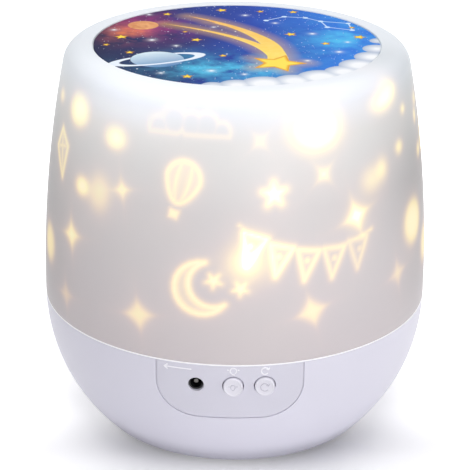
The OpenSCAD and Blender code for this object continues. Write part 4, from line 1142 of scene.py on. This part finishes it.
class NightLightStage(bpy.types.PropertyGroup):
    """Floor, lamps and camera."""

    key: FloatProperty(name="Key light", description="Power of the front lamp, in watts", default=2.9, min=0.0)
    fill: FloatProperty(name="Fill light", description="Power of the side lamps, in watts", default=0.5, min=0.0)
    top: FloatProperty(name="Top light", description="Power of the lamp overhead, in watts", default=6.0, min=0.0)
    world: FloatProperty(name="Room light", description="Strength of the light from all round", default=0.26, min=0.0)
    floor_lift: FloatProperty(name="Floor lift", description="Lift of the floor to white", default=0.30, min=0.0)
    lens: FloatProperty(name="Lens", description="Focal length of the camera, in mm", default=134.8, min=10.0)


# ---- operators ----


class NIGHTLIGHT_OT_shade(bpy.types.Operator):
    """Makes the frosted shade, with its lugs and the lights that shine through it"""

    bl_idname = "night_light.shade"
    bl_label = "Frosted shade"

    def execute(self, context):
        settings = context.scene.night_light_shade
        parts = [lathe(shade_profile(settings), settings.sides)]
        parts += [lug_block(azimuth, settings) for azimuth in (90, 210, 330)]
        shade = put_mesh("frosted_shade", *joined(*parts))
        points = vertices_of(shade)
        azimuth, radius = lamp_azimuth(points)
        set_field(shade, "window_glow", np.where(radius > 44, window_glow(azimuth, points[:, 2], extra=GLARE), 0.0))
        set_field(shade, "milkiness", milkiness(azimuth, points[:, 2]))
        dress(shade, principled(frosted_polypropylene, settings), "shade_cover", "frosted_shade", "shade")
        return {"FINISHED"}


class NIGHTLIGHT_OT_print(bpy.types.Operator):
    """Makes the printed disc in the shade's top: a night sky with a shooting star"""

    bl_idname = "night_light.print"
    bl_label = "Printed sky"

    def execute(self, context):
        disc = put_mesh("printed_sky", *print_disc(context.scene.night_light_shade.print_grid), crease=60)
        points = vertices_of(disc)
        for name, values in print_fields(points[:, 0], points[:, 1]).items():
            set_field(disc, name, values)
        dress(disc, principled(silk_coated_print), "shade_cover", "night_print", "top_print")
        return {"FINISHED"}


class NIGHTLIGHT_OT_ring(bpy.types.Operator):
    """Makes the glide ring in the seam, with a painted highlight along its upper edge"""

    bl_idname = "night_light.ring"
    bl_label = "Glide ring"

    def execute(self, context):
        (_, _, low), (outer, _, high) = node_box("seam_ring").tolist()
        inner, edge = 60.4, 0.12
        profile = np.concatenate([
            [(inner, low), (outer - edge, low)],
            arc(outer - edge, low + edge, edge, -60, 0, 3),
            arc(outer - edge, high - edge, edge, 0, 60, 3),
            [(outer - edge, high), (inner, high)],
        ])  # fmt: skip
        ring = put_mesh("glide_ring", *lathe(profile, context.scene.night_light_shade.sides))
        dress(ring, principled(moulded_nylon, low, high), "glide_ring", "ring_white", "seam_ring")
        return {"FINISHED"}


class NIGHTLIGHT_OT_bowl(bpy.types.Operator):
    """Makes the bowl and its control panel, with the panel's raised marks"""

    bl_idname = "night_light.bowl"
    bl_label = "Bowl and panel"

    def execute(self, context):
        settings = context.scene.night_light_base
        shell = principled(satin_moulded_abs, settings)
        dress(smoothed_copy("base_shell", "bowl_shell"), shell, "base", "shell_white", "base_shell")
        # The panel gets the bowl's finish at 0.92 times its lightness
        panel = principled(satin_moulded_abs, settings, 0.92, name="satin_moulded_abs_panel")
        dress(smoothed_copy("control_panel", "panel_face"), panel, "base", "shell_white", "control_panel")
        strip = put_mesh("panel_seam_strip", *panel_seam(vertices_of(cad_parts["control_panel"])))
        # A pale strip at the bottom of the groove, a little dull, that makes the groove look lighter than an open gap
        vinyl = principled(surface, "E6E4EC", 0.55, name="soft_vinyl_strip", depth=0.004, drift=0.01, IOR=1.53)
        dress(strip, vinyl, "base", "shell_white")
        light_x, turn_x, level, tip, half = 1.1, 10.7, 42.35, (-20.0, 42.35), 0.19
        arrow = [line(tip, (-11.6, level), 12), line((-18.9, level + 0.8), tip, 4), line((-18.9, level - 0.8), tip, 4)]
        points, faces = joined(
            marks(bulb_mark(2.3), half, settings.mark_rise, (light_x, level - 0.1)),
            marks(turn_mark(1.8), half, settings.mark_rise, (turn_x, level - 0.05)),
            marks(arrow, half, settings.mark_rise),
        )
        raised = put_mesh("panel_marks", on_bowl(points), faces, crease=70)
        # Raised ABS, a little smoother than the satin round it, and lighter as a painted highlight on the raised marks
        pale = principled(surface, "F6F5FB", 0.3, name="polished_abs_mark", depth=0.003, drift=0.01, IOR=1.52)
        dress(raised, pale, "base", "shell_white")
        return {"FINISHED"}


class NIGHTLIGHT_OT_buttons(bpy.types.Operator):
    """Makes the two push buttons, each with a raised mark on its face"""

    bl_idname = "night_light.buttons"
    bl_label = "Push buttons"

    def execute(self, context):
        settings = context.scene.night_light_base
        finish = principled(satin_abs_button)
        for name, body, paths in (
            ("light_button", "light_key", bulb_mark(1.75)),
            ("turn_button", "turn_key", turn_mark(2.0)),
        ):
            profile, middle = button_profile(name, settings.edge)
            cap = lathe(profile, 96, "y", (middle[0], 0, middle[2]))
            flat, flat_faces = marks(paths, 0.15, settings.mark_rise)
            floor = profile[:, 1].min() + BUTTON_DISH
            raised = np.stack([flat[:, 0] + middle[0], floor - flat[:, 2], flat[:, 1] + middle[2]], -1)
            button = put_mesh(name.replace("_button", "_push_button"), *joined(cap, (raised, flat_faces)))
            x, y, z = (vertices_of(button) - (middle[0], floor, middle[2])).T
            set_field(button, "mark", (np.abs(y) > 0.01) & (np.hypot(x, z) < 2.0))
            dress(button, finish, body, "button_white", name)
        return {"FINISHED"}


class NIGHTLIGHT_OT_domes(bpy.types.Operator):
    """Makes the printed film dome and the clear dome over it"""

    bl_idname = "night_light.domes"
    bl_label = "Star domes"

    def execute(self, context):
        clear = put_mesh("clear_dome_shell", *lathe(dome_profile("clear_dome", 1.2, 1.4, 72, 24), 240))
        dress(clear, principled(clear_polystyrene), "star_dome", "clear_plastic", "clear_dome")
        film = put_mesh("star_film_shell", *lathe(dome_profile("film_dome", 0.5, 0.5, 150, 14), 560))
        points = vertices_of(film)
        azimuth, radius = lamp_azimuth(points)
        # Each point gets the pattern of the place on the shade that it is before, seen from the light chips
        lamp_z, shade_r, crown_z = node_box("led_chips")[1, 2], 61, 126
        cast = lamp_z + shade_r * (points[:, 2] - lamp_z) / np.maximum(radius, 1.0)
        crown = film_window(gold_distance(points[:, 0], points[:, 1]))
        set_field(film, "window_glow", np.where(cast > crown_z, crown, window_glow(azimuth, cast, film_window)))
        dress(film, principled(printed_polyester_film), "star_dome", "star_film", "film_dome")
        return {"FINISHED"}


class NIGHTLIGHT_OT_cells(bpy.types.Operator):
    """Makes the cells in the battery well, with crimped rims and nubs"""

    bl_idname = "night_light.cells"
    bl_label = "Battery cells"

    def execute(self, context):
        places = vertices_of(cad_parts["battery_cells"])
        low, high = places.min(0), places.max(0)
        r = (high[2] - low[2]) / 2
        made = []
        for centre in np.linspace(low[1] + r, high[1] - r, context.scene.night_light_base.cells):
            own = places[np.abs(places[:, 1] - centre) < r * 0.98, 0]
            start, end = own.min(), own.max()
            profile = cell_profile(end - start, r)
            # A cell's nub is at the right where its right end stands out, and at the left otherwise
            profile[:, 1] = start + profile[:, 1] if end > high[0] - 1 else end - profile[:, 1]
            made.append(lathe(profile, 72, "x", (0, centre, low[2] + r)))
        cells = put_mesh("battery_cell_set", *joined(*made))
        dress(cells, principled(sleeved_cell), "base", "cell_sleeve", "battery_cells")
        return {"FINISHED"}


class NIGHTLIGHT_OT_finishes(bpy.types.Operator):
    """Gives the frame's other pieces their finishes"""

    bl_idname = "night_light.finishes"
    bl_label = "Inner finishes"

    def execute(self, context):
        refinish(principled(satin_moulded_abs, context.scene.night_light_base), "battery_door")
        refinish(principled(solder_masked_board), "control_board")
        for name, colour, roughness, grain, depth, inputs, nodes in FINISHES:
            refinish(principled(surface, colour, roughness, grain, depth, name=name, **inputs), *nodes.split())
        return {"FINISHED"}


class NIGHTLIGHT_OT_stage(bpy.types.Operator):
    """Makes the floor, the room light, the lamps and the camera"""

    bl_idname = "night_light.stage"
    bl_label = "Floor, lamps and camera"

    def execute(self, context):
        scene, settings = context.scene, context.scene.night_light_stage
        steps = np.linspace(-1500.0, 1500.0, 3)
        grid = np.stack(np.meshgrid(steps, steps, [0.0], indexing="ij"), -1).reshape(-1, 3)
        floor = put_mesh("floor", grid, grid_faces(3, 3)[:, ::-1], weld=False)
        floor.data.materials.append(principled(matt_white_board, settings.floor_lift))
        scene.world = bpy.data.worlds.new("room")
        scene.world.use_nodes = True
        node = partial(add_node, scene.world.node_tree)
        strength = {"Value": seen_directly(node), "To Min": settings.world, "To Max": 1.0}
        room = {"Color": (1, 1, 1, 1), "Strength": node("MapRange", strength)}
        fill(scene.world.node_tree.nodes["Background"], room)
        for name, power, size, place in (
            ("key", settings.key, 0.60, (0.36, -0.93, 0.20)),
            ("fill_left", settings.fill, 0.45, (-0.85, -0.45, 0.30)),
            ("fill_right", settings.fill * 2.0, 0.45, (0.85, -0.45, 0.30)),
            ("top", settings.top, 0.80, (0.02, -0.16, 0.95)),
        ):
            lamp = bpy.data.lights.new(name, "AREA")
            lamp.energy, lamp.size, lamp.shape = power, size, "DISK"
            holder = bpy.data.objects.new(name, lamp)
            way = mathutils.Vector((0, 0, 0.07)) - mathutils.Vector(place)
            holder.location = place
            holder.rotation_euler = way.to_track_quat("-Z", "Y").to_euler()
            scene.collection.objects.link(holder)
        camera = bpy.data.objects.new("camera", bpy.data.cameras.new("camera"))
        camera.data.lens, camera.data.sensor_width = settings.lens, 36.0
        camera.data.shift_x, camera.data.clip_start = 0.001, 0.01
        camera.location = (0.01046, -0.53663, 0.28299)
        down, aside, roll = (math.radians(degrees) for degrees in (22.46, 1.134, 0.578))
        aim = mathutils.Euler((math.pi / 2 - down, 0, aside)).to_matrix()
        camera.rotation_euler = (aim @ mathutils.Matrix.Rotation(roll, 3, "Z")).to_euler()
        scene.collection.objects.link(camera)
        scene.camera = camera
        scene.view_settings.view_transform = "Standard"
        return {"FINISHED"}


class NIGHTLIGHT_PT_panel(bpy.types.Panel):
    """Lists the lamp's settings and steps in the sidebar"""

    bl_idname = "NIGHTLIGHT_PT_panel"
    bl_label = "Night light"
    bl_space_type = "VIEW_3D"
    bl_region_type = "UI"
    bl_category = "Night light"

    def draw(self, context):
        for name in GROUPS:
            group = getattr(context.scene, name)
            box = self.layout.box()
            for key in group.bl_rna.properties.keys():
                if key not in ("rna_type", "name"):
                    box.prop(group, key)
        for step in STEPS:
            self.layout.operator("night_light." + step)


STEPS = ("stage", "shade", "print", "ring", "bowl", "buttons", "domes", "cells", "finishes")
GROUPS = {
    "night_light_shade": NightLightShade,
    "night_light_base": NightLightBase,
    "night_light_stage": NightLightStage,
}
CLASSES = (
    *GROUPS.values(),
    NIGHTLIGHT_OT_stage,
    NIGHTLIGHT_OT_shade,
    NIGHTLIGHT_OT_print,
    NIGHTLIGHT_OT_ring,
    NIGHTLIGHT_OT_bowl,
    NIGHTLIGHT_OT_buttons,
    NIGHTLIGHT_OT_domes,
    NIGHTLIGHT_OT_cells,
    NIGHTLIGHT_OT_finishes,
    NIGHTLIGHT_PT_panel,
)


def register():
    """Registers the classes and puts the settings on the scene."""
    for made in CLASSES:
        bpy.utils.register_class(made)
    for name, group in GROUPS.items():
        setattr(bpy.types.Scene, name, PointerProperty(type=group))


def unregister():
    """Takes the settings and the classes away again."""
    for name in GROUPS:
        delattr(bpy.types.Scene, name)
    for made in reversed(CLASSES):
        bpy.utils.unregister_class(made)


def main():
    """Builds the lamp step by step."""
    register()
    for step in STEPS:
        getattr(bpy.ops.night_light, step)()


if __name__ == "__main__":
    main()
